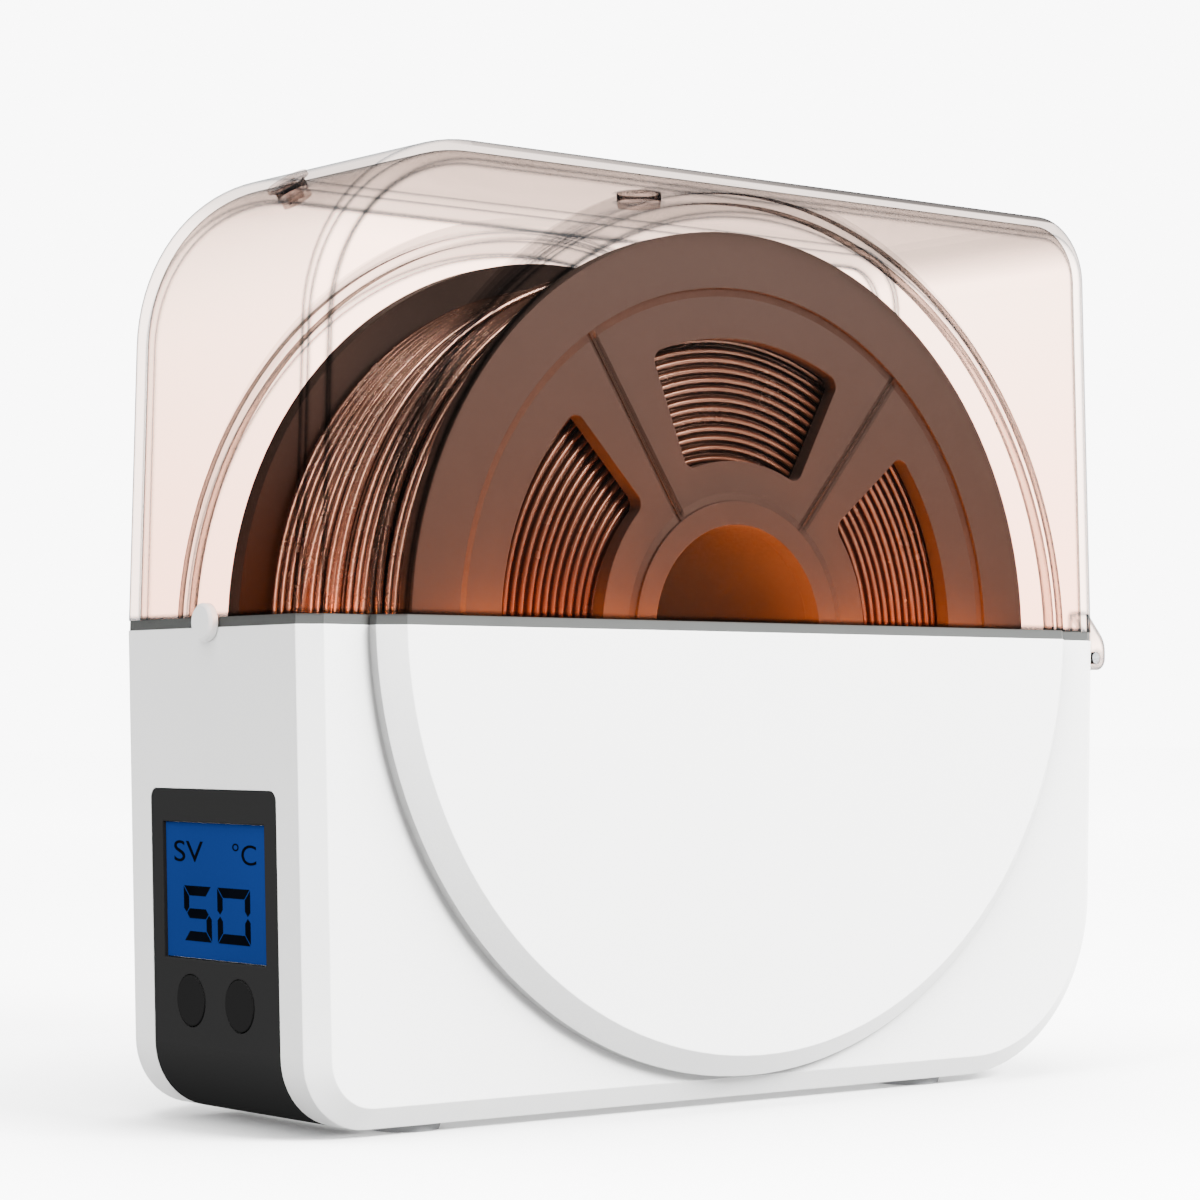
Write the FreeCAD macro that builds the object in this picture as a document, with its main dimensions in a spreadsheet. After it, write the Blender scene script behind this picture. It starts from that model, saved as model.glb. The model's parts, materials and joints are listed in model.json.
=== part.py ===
import FreeCAD, Part
import math
import os
import Sketcher

# Filament dryer box: a white base and a clear lid of the same form, hinged at one end,
# with a filament spool on rollers inside and a display fascia on the other end.
# X runs along the length with the display end at -X, Y across the depth, Z up.
# The origin lies under the middle of the whole object, on the surface it stands on.

Vector = FreeCAD.Vector
ALONG_Y = Vector(0, 1, 0)
doc = FreeCAD.newDocument("filament_dryer")
sheet = doc.addObject("Spreadsheet::Sheet", "Dim")

SPOOL_FIT = "=min(base_height - spool_room; lid_height - spool_room; disc_radius - disc_room)"

SIZES = (
    # Case form, the same for base and lid
    ("box_length", 260.0, "length of the case at the seam"),
    ("box_depth", 81.0, "depth between the flat long sides"),
    ("base_height", 115.0, "seam to the underside of the base"),
    ("lid_height", 115.0, "seam to the top of the lid"),
    ("wall", 2.4, "wall of base and lid"),
    ("end_draft", 3.0, "how far each end leans in from the seam"),
    ("small_corner", 17.0, "radius of the tighter outline corner"),
    ("big_corner", 47.0, "radius of the wide outline corner"),
    ("chamfer_depth", 4.0, "edge chamfer across the depth"),
    ("chamfer_width", 5.2, "edge chamfer on the long sides"),
    ("disc_radius", 112.4, "radius of the raised disc"),
    ("disc_step", 2.6, "straight step of the disc"),
    ("disc_rise", 4.8, "height of the disc's sloping edge"),
    ("disc_slope", 5.4, "width of the disc's sloping edge"),
    ("disc_margin", 0.5, "flat left between disc and edge chamfer"),
    ("seal_height", 2.4, "height of the grey seal band"),
    ("seal_inset", 0.25, "how far the seal lies behind the walls"),
    ("fit_gap", 0.2, "clearance between fixed pieces"),
    # Feet
    ("foot_height", 2.0, "feet below the underside"),
    ("foot_radius", 9.0, "radius of a foot"),
    ("foot_recess", 0.8, "depth of a foot's seat in the base"),
    ("foot_end", 38.0, "feet from the display end"),
    ("foot_hinge", 60.0, "feet from the hinge end"),
    ("foot_side", 26.0, "feet from the middle plane"),
    # Hinge
    ("hinge_reach", 3.9, "pin axis outside the end wall"),
    ("hinge_drop", 4.5, "pin axis below the seam"),
    ("knuckle_radius", 3.3, "radius of knuckle and arm ends"),
    ("knuckle_half", 28.7, "half length of the base knuckle"),
    ("gusset_height", 7.0, "sloping foot under the knuckle"),
    ("arm_gap", 0.3, "gap between knuckle and arm"),
    ("arm_width", 6.0, "width of a lid arm"),
    ("arm_top", 7.5, "top of the arm above the seam"),
    ("arm_bend", 7.0, "rounding of the arm's outer edge"),
    ("pin_radius", 1.6, "radius of the hinge pin"),
    ("pin_play", 0.05, "running clearance of the pin"),
    ("press_play", 0.02, "clearance of a pressed or screwed piece"),
    # Thumb tab and filament outlets
    ("tab_radius", 4.5, "radius of the thumb tab"),
    ("tab_out", 2.4, "how far the tab stands out"),
    ("tab_edge", 0.7, "bevelled edge of the tab"),
    ("outlet_angle", 35.0, "corner outlet, degrees from upright"),
    ("outlet_bore", 2.1, "radius of the filament way"),
    ("grommet_radius", 3.8, "radius of the grommet's neck"),
    ("grommet_flange", 5.4, "radius of the grommet's flange"),
    ("grommet_lip", 1.0, "thickness of the grommet's flange"),
    ("plug_radius", 5.6, "radius of the top plug"),
    ("plug_depth", 3.6, "length of the top plug"),
    # Spool and filament
    ("spool_room", 15.0, "spool to the underside or the top of the case"),
    ("disc_room", 12.4, "spool to the edge of the disc"),
    ("spool_radius", SPOOL_FIT, "radius of the spool flange, as large as the case takes"),
    ("spool_width", 79.0, "spool across both flanges"),
    ("flange_thick", 5.0, "thickness of a flange"),
    ("flange_recess", 0.8, "web of the flange behind its rims"),
    ("hub_bore", 27.0, "radius of the spool's bore"),
    ("hub_rim", 33.0, "radius of the raised ring at the bore"),
    ("hub_radius", 40.0, "radius of the winding barrel"),
    ("window_inner", 43.0, "inner radius of a window"),
    ("window_edge", 26.5, "window to the edge of the flange"),
    ("window_angle", 50.0, "width of a window in degrees"),
    ("window_turn", 3.0, "turn of the first window from the top"),
    ("window_corner", 3.0, "corner radius of a window"),
    ("windows", 5.0, "windows in a flange"),
    ("rim_width", 14.0, "width of the raised rim"),
    ("ridge_width", 1.4, "radial ridge on a spoke"),
    ("filament", 2.7, "thickness of the filament"),
    ("turn_end", 3.0, "last turn to the flange, room for its bend"),
    ("turns", 20.0, "turns in the outer layer"),
    ("core_drop", 9.7, "layers below, inside the edge of the flange"),
    ("core_setback", 0.8, "layers below, from the flange"),
    # Cradle and rollers
    ("trough_gap", 3.5, "trough outside the spool"),
    ("trough_thick", 2.0, "wall of the trough"),
    ("trough_side", 2.0, "trough past the spool on each side"),
    ("shelf_drop", 4.0, "cradle shelf below the seam"),
    ("roller_radius", 8.0, "radius over a roller's tyre"),
    ("roller_angle", 38.0, "rollers, degrees from straight down"),
    ("roller_gap", 0.3, "gap between roller and spool"),
    ("roller_width", 4.8, "width of a roller"),
    ("tyre_thick", 2.0, "rubber on a roller"),
    ("axle_radius", 2.0, "radius of a roller axle"),
    ("axle_play", 0.05, "running clearance of an axle"),
    ("bush_radius", 3.2, "outer radius of a bush"),
    ("boss_radius", 4.6, "radius of a bush's seat"),
    ("bush_inner", 24.0, "bush, inner end from the middle plane"),
    ("bush_length", 5.0, "length of a bush"),
    ("slot_gap", 0.8, "room round a roller in the trough"),
    ("ledge_reach", 9.0, "ledges inside the end walls"),
    ("ledge_width", 14.0, "width of a ledge"),
    ("screw_side", 23.0, "cradle screws from the middle plane"),
    ("screw_radius", 1.4, "radius of a screw shank"),
    ("screw_head", 2.8, "radius of a screw head"),
    ("screw_cap", 1.8, "height of a screw head"),
    ("screw_length", 9.0, "length of a screw below its head"),
    # Heater
    ("plate_angle", 54.0, "arc of the heating plate in degrees"),
    ("plate_half", 36.0, "half width of the heating plate"),
    ("plate_thick", 1.1, "thickness of the heating plate"),
    ("film_angle", 42.0, "arc of the heater film in degrees"),
    ("film_half", 28.0, "half width of the heater film"),
    ("film_thick", 0.4, "thickness of the heater film"),
    ("opening_angle", 46.0, "arc of the opening under the plate"),
    ("opening_half", 31.0, "half width of the opening under the plate"),
    ("sensor_radius", 1.5, "radius of the temperature sensor"),
    ("sensor_length", 8.0, "length of the temperature sensor"),
    # Fascia and electronics, set above the underside and measured down the end wall from the seam
    ("panel_half", 27.2, "half width of the fascia"),
    ("panel_rise", 77.0, "top of the fascia above the underside"),
    ("panel_top", "=base_height - panel_rise", "top of the fascia, below the seam"),
    ("panel_thick", 1.6, "thickness of the fascia"),
    ("panel_under", 6.0, "fascia under the base past its corner"),
    ("panel_corner", 2.5, "top corners of the fascia"),
    ("lens_half", 22.2, "half width of the display window"),
    ("lens_high", 69.3, "top of the display window above the underside"),
    ("lens_top", "=base_height - lens_high", "top of the display window, below the seam"),
    ("lens_low", 37.0, "bottom of the display window above the underside"),
    ("lens_bottom", "=base_height - lens_low", "bottom of the display window, below the seam"),
    ("lens_sunk", 0.8, "display window behind the fascia's face"),
    ("window_rim", 1.8, "LCD frame past the display window"),
    ("lcd_thick", 3.6, "thickness of the LCD unit"),
    ("button_radius", 6.0, "radius of a button"),
    ("button_side", 10.6, "buttons from the middle plane"),
    ("button_rise", 27.2, "buttons above the underside"),
    ("button_level", "=base_height - button_rise", "buttons, below the seam"),
    ("button_proud", 0.2, "button cap outside the fascia"),
    ("button_play", 0.25, "gap round a button"),
    ("button_lip", 1.3, "flange that holds a button in"),
    ("button_travel", 1.0, "how far a button goes in"),
    ("board_depth", 9.0, "board's outer face behind the end wall's face"),
    ("board_thick", 1.6, "thickness of the board"),
    ("board_half", 31.0, "half width of the board"),
    ("board_high", 74.0, "top of the board above the underside"),
    ("board_top", "=base_height - board_high", "top of the board, below the seam"),
    ("board_low", 18.5, "bottom of the board above the underside"),
    ("board_bottom", "=base_height - board_low", "bottom of the board, below the seam"),
    ("board_inset", 3.6, "board screws from the board's edges"),
    ("post_radius", 3.0, "posts that carry the board"),
    ("switch_side", 3.0, "half size of a push switch"),
    ("plunger_radius", 1.7, "plunger of a push switch"),
    # Power inlet
    ("jack_rise", 58.0, "power inlet above the underside"),
    ("jack_level", "=base_height - jack_rise", "power inlet, below the seam"),
    ("jack_radius", 4.2, "barrel of the power inlet"),
    ("jack_bore", 2.8, "socket of the power inlet"),
    ("jack_depth", 9.0, "depth of the socket"),
    ("jack_pin", 1.0, "contact pin of the power inlet"),
    ("jack_length", 14.0, "length of the power inlet"),
    ("jack_side", 5.0, "half size of the inlet's block"),
)

for row, (alias, number, note) in enumerate(SIZES, start=1):
    sheet.set("A%d" % row, note)
    sheet.set("B%d" % row, str(number))
    sheet.setAlias("B%d" % row, alias)
doc.recompute()

# Formulas that several pieces share
SEAM = "Dim.base_height + Dim.foot_height"
SHIFT = "(Dim.tab_out - Dim.hinge_reach - Dim.knuckle_radius)/2"
END = "Dim.box_length/2"
PIN_X = "(Dim.box_length/2 + Dim.hinge_reach)"
LEAN = "(Dim.end_draft/Dim.base_height)"
TROUGH = "(Dim.spool_radius + Dim.trough_gap)"
AXLE = "(Dim.spool_radius + Dim.roller_gap + Dim.roller_radius)"
TROUGH_HALF = "(Dim.spool_width/2 + Dim.trough_side)"
FLANGE_INNER = "(Dim.spool_width/2 - Dim.flange_thick)"
RIM_INNER = "(Dim.spool_radius - Dim.rim_width)"
WINDOW_OUTER = "(Dim.spool_radius - Dim.window_edge)"
CORE = "(Dim.spool_radius - Dim.core_drop)"
PITCH = "((2*%s - 2*Dim.turn_end)/Dim.turns)" % FLANGE_INNER
ROLLER_Y = FLANGE_INNER
SHELF = "(Dim.shelf_drop + Dim.trough_thick)"
SCREW_X = "(Dim.box_length/2 - Dim.wall - Dim.ledge_reach/2)"
LCD_BACK = "(Dim.panel_thick + Dim.fit_gap + Dim.lcd_thick)"
LIP_FACE = "(Dim.panel_thick + Dim.fit_gap)"
STEM_END = "(Dim.panel_thick + Dim.fit_gap + 2*Dim.button_lip)"
CHAMFER_SHARE = (
    "(1 + {0}*(sqrt(1/Dim.chamfer_depth^2 + 1/Dim.chamfer_width^2)"
    " - 1/Dim.chamfer_depth - 1/Dim.chamfer_width))"
)

PARTS = []


# Helpers for bodies, sketches and features
def value(formula):
    """Number that a formula gives with the sheet's present sizes."""
    result = sheet.evalExpression(formula)
    return float(getattr(result, "Value", result))


def keep(part):
    """Add a finished sub-part to the list that is written out."""
    PARTS.append(part)
    return part


def place(part, x="0", y="0", z="0", lean=None, turn_z=None, turn_y=None):
    """Set a sub-part in the case frame, which lies at the seam in the middle of the case."""
    if lean:
        part.Placement.Rotation = FreeCAD.Rotation(Vector(0, 1, 0), -1)
        part.setExpression("Placement.Rotation.Angle", "atan(%s)" % lean)
        part.Placement.Rotation.Axis = Vector(0, -1, 0)
    if turn_z:
        part.Placement.Rotation = FreeCAD.Rotation(Vector(0, 0, 1), turn_z)
    if turn_y:
        part.Placement.Rotation = FreeCAD.Rotation(Vector(0, 1, 0), turn_y)
    part.setExpression("Placement.Base.x", "%s + %s" % (SHIFT, x))
    part.setExpression("Placement.Base.y", y)
    part.setExpression("Placement.Base.z", "%s + %s" % (SEAM, z))
    return part


def new_body(name):
    return doc.addObject("PartDesign::Body", name)


def origin_part(body, role):
    return [part for part in body.Origin.OriginFeatures if part.Role == role][0]


def new_sketch(body, name, plane, offset=None):
    """Sketch on one of the body's own planes, moved along the plane's normal by offset."""
    sketch = body.newObject("Sketcher::SketchObject", "%s_%s" % (body.Name, name))
    sketch.AttachmentSupport = (origin_part(body, plane), "")
    sketch.MapMode = "FlatFace"
    if offset:
        sketch.setExpression("AttachmentOffset.Base.z", offset)
    return sketch


def constrain(sketch, formula, *definition):
    """Add a constraint whose size is bound to a formula."""
    index = sketch.addConstraint(Sketcher.Constraint(*definition, value(formula)))
    sketch.setExpression("Constraints[%d]" % index, formula)


def fix_point(sketch, point, x, y):
    constrain(sketch, x, "DistanceX", -1, 1, *point)
    constrain(sketch, y, "DistanceY", -1, 1, *point)


def rounded_corner(before, corner, after, radius):
    """Tangent points, arc and turning side of a rounded corner."""
    way_in = (corner - before).normalize()
    way_out = (after - corner).normalize()
    turn = math.atan2(way_in.cross(way_out).z, way_in.dot(way_out))
    reach = radius * math.tan(abs(turn) / 2)
    side = math.copysign(1, turn)
    start = corner - way_in * reach
    end = corner + way_out * reach
    centre = start + Vector(-way_in.y, way_in.x, 0) * radius * side
    first, last = (start, end) if side > 0 else (end, start)
    angles = [math.atan2(p.y - centre.y, p.x - centre.x) for p in (first, last)]
    return start, end, Part.ArcOfCircle(Part.Circle(centre, Vector(0, 0, 1), radius), *angles), side


def outline(body, name, plane, corners, offset=None):
    """Closed outline through corners, each (x, y) or (x, y, radius), all given as formulas."""
    sketch = new_sketch(body, name, plane, offset)
    points = [Vector(value(c[0]), value(c[1]), 0) for c in corners]
    count = len(points)
    starts = list(points)
    ends = list(points)
    arcs = [None] * count
    for i, corner in enumerate(corners):
        if len(corner) == 3:
            after = points[(i + 1) % count]
            found = rounded_corner(points[i - 1], points[i], after, value(corner[2]))
            starts[i], ends[i], arcs[i] = found[0], found[1], found[2:]
    lines = []
    for i in range(count):
        lines.append(sketch.addGeometry(Part.LineSegment(ends[i], starts[(i + 1) % count])))
    for i, corner in enumerate(corners):
        before, after = lines[i - 1], lines[i]
        if arcs[i]:
            arc = sketch.addGeometry(arcs[i][0])
            near, far = (1, 2) if arcs[i][1] > 0 else (2, 1)
            tip = sketch.addGeometry(Part.Point(points[i]), True)
            sketch.addConstraint(Sketcher.Constraint("Tangent", before, 2, arc, near))
            sketch.addConstraint(Sketcher.Constraint("Tangent", arc, far, after, 1))
            sketch.addConstraint(Sketcher.Constraint("PointOnObject", tip, 1, before))
            sketch.addConstraint(Sketcher.Constraint("PointOnObject", tip, 1, after))
            constrain(sketch, corner[2], "Radius", arc)
            fix_point(sketch, (tip, 1), corner[0], corner[1])
        else:
            sketch.addConstraint(Sketcher.Constraint("Coincident", before, 2, after, 1))
            fix_point(sketch, (after, 1), corner[0], corner[1])
    return sketch


def box_outline(body, name, plane, x_low, x_high, y_low, y_high, offset=None):
    """Rectangle between two formulas each way."""
    corners = [(x_low, y_low), (x_high, y_low), (x_high, y_high), (x_low, y_high)]
    return outline(body, name, plane, corners, offset)


def circles(body, name, plane, rounds, offset=None):
    """Circles, each (x, y, radius), all given as formulas."""
    sketch = new_sketch(body, name, plane, offset)
    for x, y, radius in rounds:
        centre = Vector(value(x), value(y), 0)
        ring = sketch.addGeometry(Part.Circle(centre, Vector(0, 0, 1), value(radius)))
        constrain(sketch, radius, "Radius", ring)
        fix_point(sketch, (ring, 3), x, y)
    return sketch


def feature(kind, body, sketch, length, symmetric=False, reverse=False):
    """Pad or pocket of a sketch by a length given as a formula."""
    made = body.newObject("PartDesign::%s" % kind, "%s_%s" % (sketch.Name, kind.lower()))
    made.Profile = sketch
    made.SideType = "Symmetric" if symmetric else "One side"
    made.Reversed = reverse
    made.setExpression("Length", length)
    doc.recompute()
    return made


def pad(body, sketch, length, **options):
    return feature("Pad", body, sketch, length, **options)


def pocket(body, sketch, length, **options):
    """Pocket that has to take material away."""
    before = body.Shape.Volume
    made = feature("Pocket", body, sketch, length, **options)
    if made.Shape.Volume >= before:
        raise RuntimeError("%s cuts nothing" % made.Name)
    return made


def spun(kind, body, sketch, angle="360"):
    """Revolution or groove about the sketch's horizontal axis, centred on the sketch."""
    made = body.newObject("PartDesign::%s" % kind, "%s_%s" % (sketch.Name, kind.lower()))
    made.Profile = sketch
    made.ReferenceAxis = (sketch, ["H_Axis"])
    made.Midplane = True
    made.setExpression("Angle", angle)
    doc.recompute()
    return made


def edge_names(feature_made, wanted):
    """Names of the edges for which wanted(edge) is true."""
    edges = enumerate(feature_made.Shape.Edges, start=1)
    return ["Edge%d" % i for i, edge in edges if wanted(edge)]


def round_edges(body, wanted, radius, name):
    """Fillet of the body's last feature along chosen edges."""
    made = body.newObject("PartDesign::Fillet", "%s_%s" % (body.Name, name))
    made.Base = (made.BaseFeature, edge_names(made.BaseFeature, wanted))
    made.setExpression("Radius", radius)
    doc.recompute()
    return made


def bevel_edges(body, wanted, size, name):
    """Chamfer of the body's last feature along chosen edges."""
    made = body.newObject("PartDesign::Chamfer", "%s_%s" % (body.Name, name))
    made.Base = (made.BaseFeature, edge_names(made.BaseFeature, wanted))
    made.setExpression("Size", size)
    doc.recompute()
    return made


def cylinder(name, radius, length, x="0", y="0", z="0", axis=Vector(0, 0, 1)):
    """Round bar from a point along an axis, in its owner's frame."""
    bar = doc.addObject("Part::Cylinder", name)
    bar.setExpression("Radius", radius)
    bar.setExpression("Height", length)
    bar.Placement.Rotation = FreeCAD.Rotation(Vector(0, 0, 1), axis)
    for letter, formula in zip("xyz", (x, y, z)):
        bar.setExpression("Placement.Base.%s" % letter, formula)
    return bar


def block(name, x, y, z):
    """Box between (low, high) formulas along X, Y and Z, in its owner's frame."""
    made = doc.addObject("Part::Box", name)
    for letter, side, (low, high) in zip("xyz", ("Length", "Width", "Height"), (x, y, z)):
        made.setExpression(side, "(%s) - (%s)" % (high, low))
        made.setExpression("Placement.Base.%s" % letter, low)
    return made


def joined(name, pieces):
    made = doc.addObject("Part::MultiFuse", name)
    made.Shapes = pieces
    return made


def minus(name, base, tool):
    made = doc.addObject("Part::Cut", name)
    made.Base = base
    made.Tool = tool
    return made


def group(name, pieces):
    """Like pieces that share one node, each its own solid."""
    made = doc.addObject("Part::Compound", name)
    made.Links = pieces
    return made


# The case form
def case_form(body, height, inset, cut_at):
    """Half of the case below the seam: rounded outline, chamfered edges and the two discs."""
    bottom = "-%s + %s" % (height, inset)
    profile = outline(body, "outline", "XZ_Plane", [
        ("-%s + %s" % (END, inset), inset),
        ("-%s + Dim.end_draft + %s" % (END, inset), bottom, "Dim.small_corner - %s" % inset),
        ("%s - Dim.end_draft - %s" % (END, inset), bottom, "Dim.big_corner - %s" % inset),
        ("%s - %s" % (END, inset), inset),
    ])
    solid = pad(body, profile, "Dim.box_depth - 2*%s" % inset, symmetric=True)
    side = value("Dim.box_depth/2 - %s" % inset)
    top = value(inset)
    small = 1e-4

    def outer_edge(edge):
        box = edge.BoundBox
        return box.YLength < small and abs(abs(box.YMin) - side) < small and box.ZMin < top - small

    chamfer = body.newObject("PartDesign::Chamfer", "%s_chamfer" % body.Name)
    chamfer.Base = (solid, edge_names(solid, outer_edge))
    chamfer.ChamferType = "Two distances"
    chamfer.setExpression("Size", "Dim.chamfer_depth*" + CHAMFER_SHARE.format(inset))
    chamfer.setExpression("Size2", "Dim.chamfer_width*" + CHAMFER_SHARE.format(inset))
    doc.recompute()

    slope = "atan(Dim.disc_slope/Dim.disc_rise)"
    face = "(Dim.box_depth/2 + Dim.disc_step + Dim.disc_rise - %s)" % inset
    step = "(Dim.box_depth/2 + Dim.disc_step - %s*tan(%s/2))" % (inset, slope)
    rim = "(Dim.disc_radius - %s)" % inset
    flat = "(Dim.disc_radius - Dim.disc_slope - %s*tan((90 deg - %s)/2))" % (inset, slope)
    discs = outline(body, "discs", "YZ_Plane", [
        ("-%s" % face, "0"), (face, "0"), (face, flat),
        (step, rim), ("-%s" % step, rim), ("-%s" % face, flat),
    ])
    lift = "Dim.disc_radius + Dim.disc_margin + Dim.chamfer_width - %s" % height
    discs.setExpression("AttachmentOffset.Base.y", lift)
    spun("Revolution", body, discs)
    above = box_outline(body, "above", "XY_Plane", "-Dim.box_length", "Dim.box_length",
                        "-Dim.box_depth", "Dim.box_depth", cut_at)
    pocket(body, above, "%s + Dim.disc_radius" % height, reverse=True)


def case_shell(name, height, inset, cut_at):
    """Case form with its hollow cut out."""
    body = new_body(name)
    case_form(body, height, inset, cut_at)
    hollow = new_body("%s_hollow" % name)
    case_form(hollow, height, "Dim.wall", "Dim.wall")
    cut = body.newObject("PartDesign::Boolean", "%s_cut" % name)
    cut.Type = "Cut"
    cut.setObjects([hollow])
    doc.recompute()
    return body


def pair(formula):
    """A distance on both sides of the middle."""
    return (formula, "-(%s)" % formula)


def fascia_band(body, name, over, gap):
    """Band down the display end, round the lower corner and under the base."""
    foot = "-%s + Dim.end_draft" % END
    lean_top = "Dim.end_draft*Dim.panel_top/Dim.base_height"
    last = "%s + Dim.small_corner + Dim.panel_under + %s" % (foot, gap)
    top = "-Dim.panel_top + %s" % gap
    under = "-Dim.base_height"
    return outline(body, name, "XZ_Plane", [
        ("-%s + %s - %s" % (END, lean_top, over), top),
        ("%s - %s" % (foot, over), "%s - %s" % (under, over), "Dim.small_corner + %s" % over),
        (last, "%s - %s" % (under, over)),
        (last, "%s + Dim.panel_thick" % under),
        ("%s + Dim.panel_thick" % foot, "%s + Dim.panel_thick" % under,
         "Dim.small_corner - Dim.panel_thick"),
        ("-%s + %s + Dim.panel_thick" % (END, lean_top), top),
    ])


def fascia_corner(half):
    """Test for the two upper corner edges of the fascia or its seat."""
    def wanted(edge):
        box = edge.BoundBox
        short = box.XLength > 4 * box.YLength and box.XLength > 4 * box.ZLength
        return short and abs(abs(box.YMin) - half) < 0.01 and abs(box.ZMax + value("Dim.panel_top")) < 0.5
    return wanted


# Base shell
base = case_shell("base_shell", "Dim.base_height", "0", "0")

web = outline(base, "knuckle_web", "XZ_Plane", [
    ("%s - Dim.wall/2" % END, "-Dim.hinge_drop + Dim.knuckle_radius/2"),
    ("%s - Dim.wall/2" % END, "-Dim.hinge_drop - Dim.knuckle_radius - Dim.gusset_height"),
    (PIN_X, "-Dim.hinge_drop - Dim.knuckle_radius"),
    (PIN_X, "-Dim.hinge_drop + Dim.knuckle_radius/2"),
])
pad(base, web, "2*Dim.knuckle_half", symmetric=True)
barrel = circles(base, "knuckle", "XZ_Plane", [(PIN_X, "-Dim.hinge_drop", "Dim.knuckle_radius")])
pad(base, barrel, "2*Dim.knuckle_half", symmetric=True)
pin_hole = circles(base, "pin_hole", "XZ_Plane",
                   [(PIN_X, "-Dim.hinge_drop", "Dim.pin_radius + Dim.press_play")])
pocket(base, pin_hole, "2*Dim.knuckle_half", symmetric=True)

LEDGE_TOP = "(-%s - Dim.fit_gap)" % SHELF
for end_name, sign in (("left", "-"), ("right", "")):
    for side_name, side_y in zip(("front", "back"), pair("Dim.screw_side")):
        ledge = outline(base, "ledge_%s_%s" % (end_name, side_name), "XZ_Plane", [
            ("%s(%s - Dim.wall/2)" % (sign, END), LEDGE_TOP),
            ("%s(%s - Dim.wall - Dim.ledge_reach)" % (sign, END), LEDGE_TOP),
            ("%s(%s - Dim.wall - Dim.ledge_reach)" % (sign, END), "%s - Dim.wall" % LEDGE_TOP),
            ("%s(%s - Dim.wall/2 - Dim.end_draft/4)" % (sign, END),
             "%s - Dim.wall - Dim.ledge_reach" % LEDGE_TOP),
        ], "%s - Dim.ledge_width/2" % side_y)
        pad(base, ledge, "Dim.ledge_width")
screw_places = []
for sign in ("-", ""):
    for side_y in pair("Dim.screw_side"):
        screw_places.append(("%s%s" % (sign, SCREW_X), side_y))
screw_holes = circles(base, "screw_holes", "XY_Plane",
                      [(x, y, "Dim.screw_radius + Dim.press_play") for x, y in screw_places], LEDGE_TOP)
pocket(base, screw_holes, "Dim.screw_length")

seat = fascia_band(base, "fascia_seat", "Dim.wall", "Dim.fit_gap")
pocket(base, seat, "2*(Dim.panel_half + Dim.fit_gap)", symmetric=True)
round_edges(base, fascia_corner(value("Dim.panel_half + Dim.fit_gap")), "Dim.panel_corner", "seat_corner")
WAY_HALF = "(Dim.lens_half + Dim.window_rim + Dim.fit_gap)"
WAY_LOW = "(Dim.button_level + Dim.button_radius + Dim.button_lip + Dim.button_play + Dim.fit_gap)"
WAY_HIGH = "(Dim.lens_top - Dim.window_rim - Dim.fit_gap)"
display_way = box_outline(base, "display_way", "YZ_Plane", "-%s" % WAY_HALF, WAY_HALF,
                          "-%s" % WAY_LOW, "-%s" % WAY_HIGH, "-%s + Dim.end_draft + Dim.wall" % END)
pocket(base, display_way, "2*Dim.end_draft + Dim.wall")

POST_Y = "(Dim.board_half - Dim.board_inset)"
POST_LEVELS = ("(Dim.board_top + Dim.board_inset)", "(Dim.board_bottom - Dim.board_inset)")
for level_name, level in zip(("top", "bottom"), POST_LEVELS):
    height = "-%s + %s*(Dim.board_depth + Dim.wall)/2" % (level, LEAN)
    lean_here = "%s*%s" % (LEAN, level)
    rounds = [(y, height, "Dim.post_radius") for y in pair(POST_Y)]
    posts = circles(base, "posts_%s" % level_name, "YZ_Plane", rounds,
                    "-%s + %s + Dim.wall - Dim.fit_gap" % (END, lean_here))
    pad(base, posts, "Dim.board_depth - Dim.wall")
    holes = [(y, height, "Dim.screw_radius + Dim.fit_gap") for y in pair(POST_Y)]
    post_holes = circles(base, "post_holes_%s" % level_name, "YZ_Plane", holes,
                         "-%s + %s + Dim.board_depth" % (END, lean_here))
    pocket(base, post_holes, "Dim.board_depth - Dim.wall")

jack_hole = circles(base, "jack_hole", "YZ_Plane",
                    [("0", "-Dim.jack_level", "Dim.jack_radius + Dim.fit_gap")], END)
pocket(base, jack_hole, "Dim.jack_length")

foot_places = []
for foot_x in ("-(%s - Dim.foot_end)" % END, "(%s - Dim.foot_hinge)" % END):
    for foot_y in pair("Dim.foot_side"):
        foot_places.append((foot_x, foot_y))
foot_seats = circles(base, "foot_seats", "XY_Plane",
                     [(x, y, "Dim.foot_radius + Dim.fit_gap") for x, y in foot_places], "-Dim.base_height")
pocket(base, foot_seats, "Dim.foot_recess", reverse=True)
keep(place(base))

feet = []
for i, (foot_x, foot_y) in enumerate(foot_places):
    foot = doc.addObject("Part::Cone", "foot_%d" % i)
    foot.setExpression("Radius1", "Dim.foot_radius - Dim.foot_height/2")
    foot.setExpression("Radius2", "Dim.foot_radius")
    foot.setExpression("Height", "Dim.foot_height + Dim.foot_recess")
    for letter, formula in zip("xyz", (foot_x, foot_y, "-Dim.base_height - Dim.foot_height")):
        foot.setExpression("Placement.Base.%s" % letter, formula)
    feet.append(foot)
keep(place(group("rubber_feet", feet)))

ARM_OUT = "(Dim.knuckle_half + Dim.arm_gap + Dim.arm_width)"
PIN_HALF = "(%s - Dim.arm_gap)" % ARM_OUT
hinge_pin = cylinder("hinge_pin", "Dim.pin_radius", "2*%s" % PIN_HALF, axis=ALONG_Y)
keep(place(hinge_pin, PIN_X, "-%s" % PIN_HALF, "-Dim.hinge_drop"))

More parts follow.
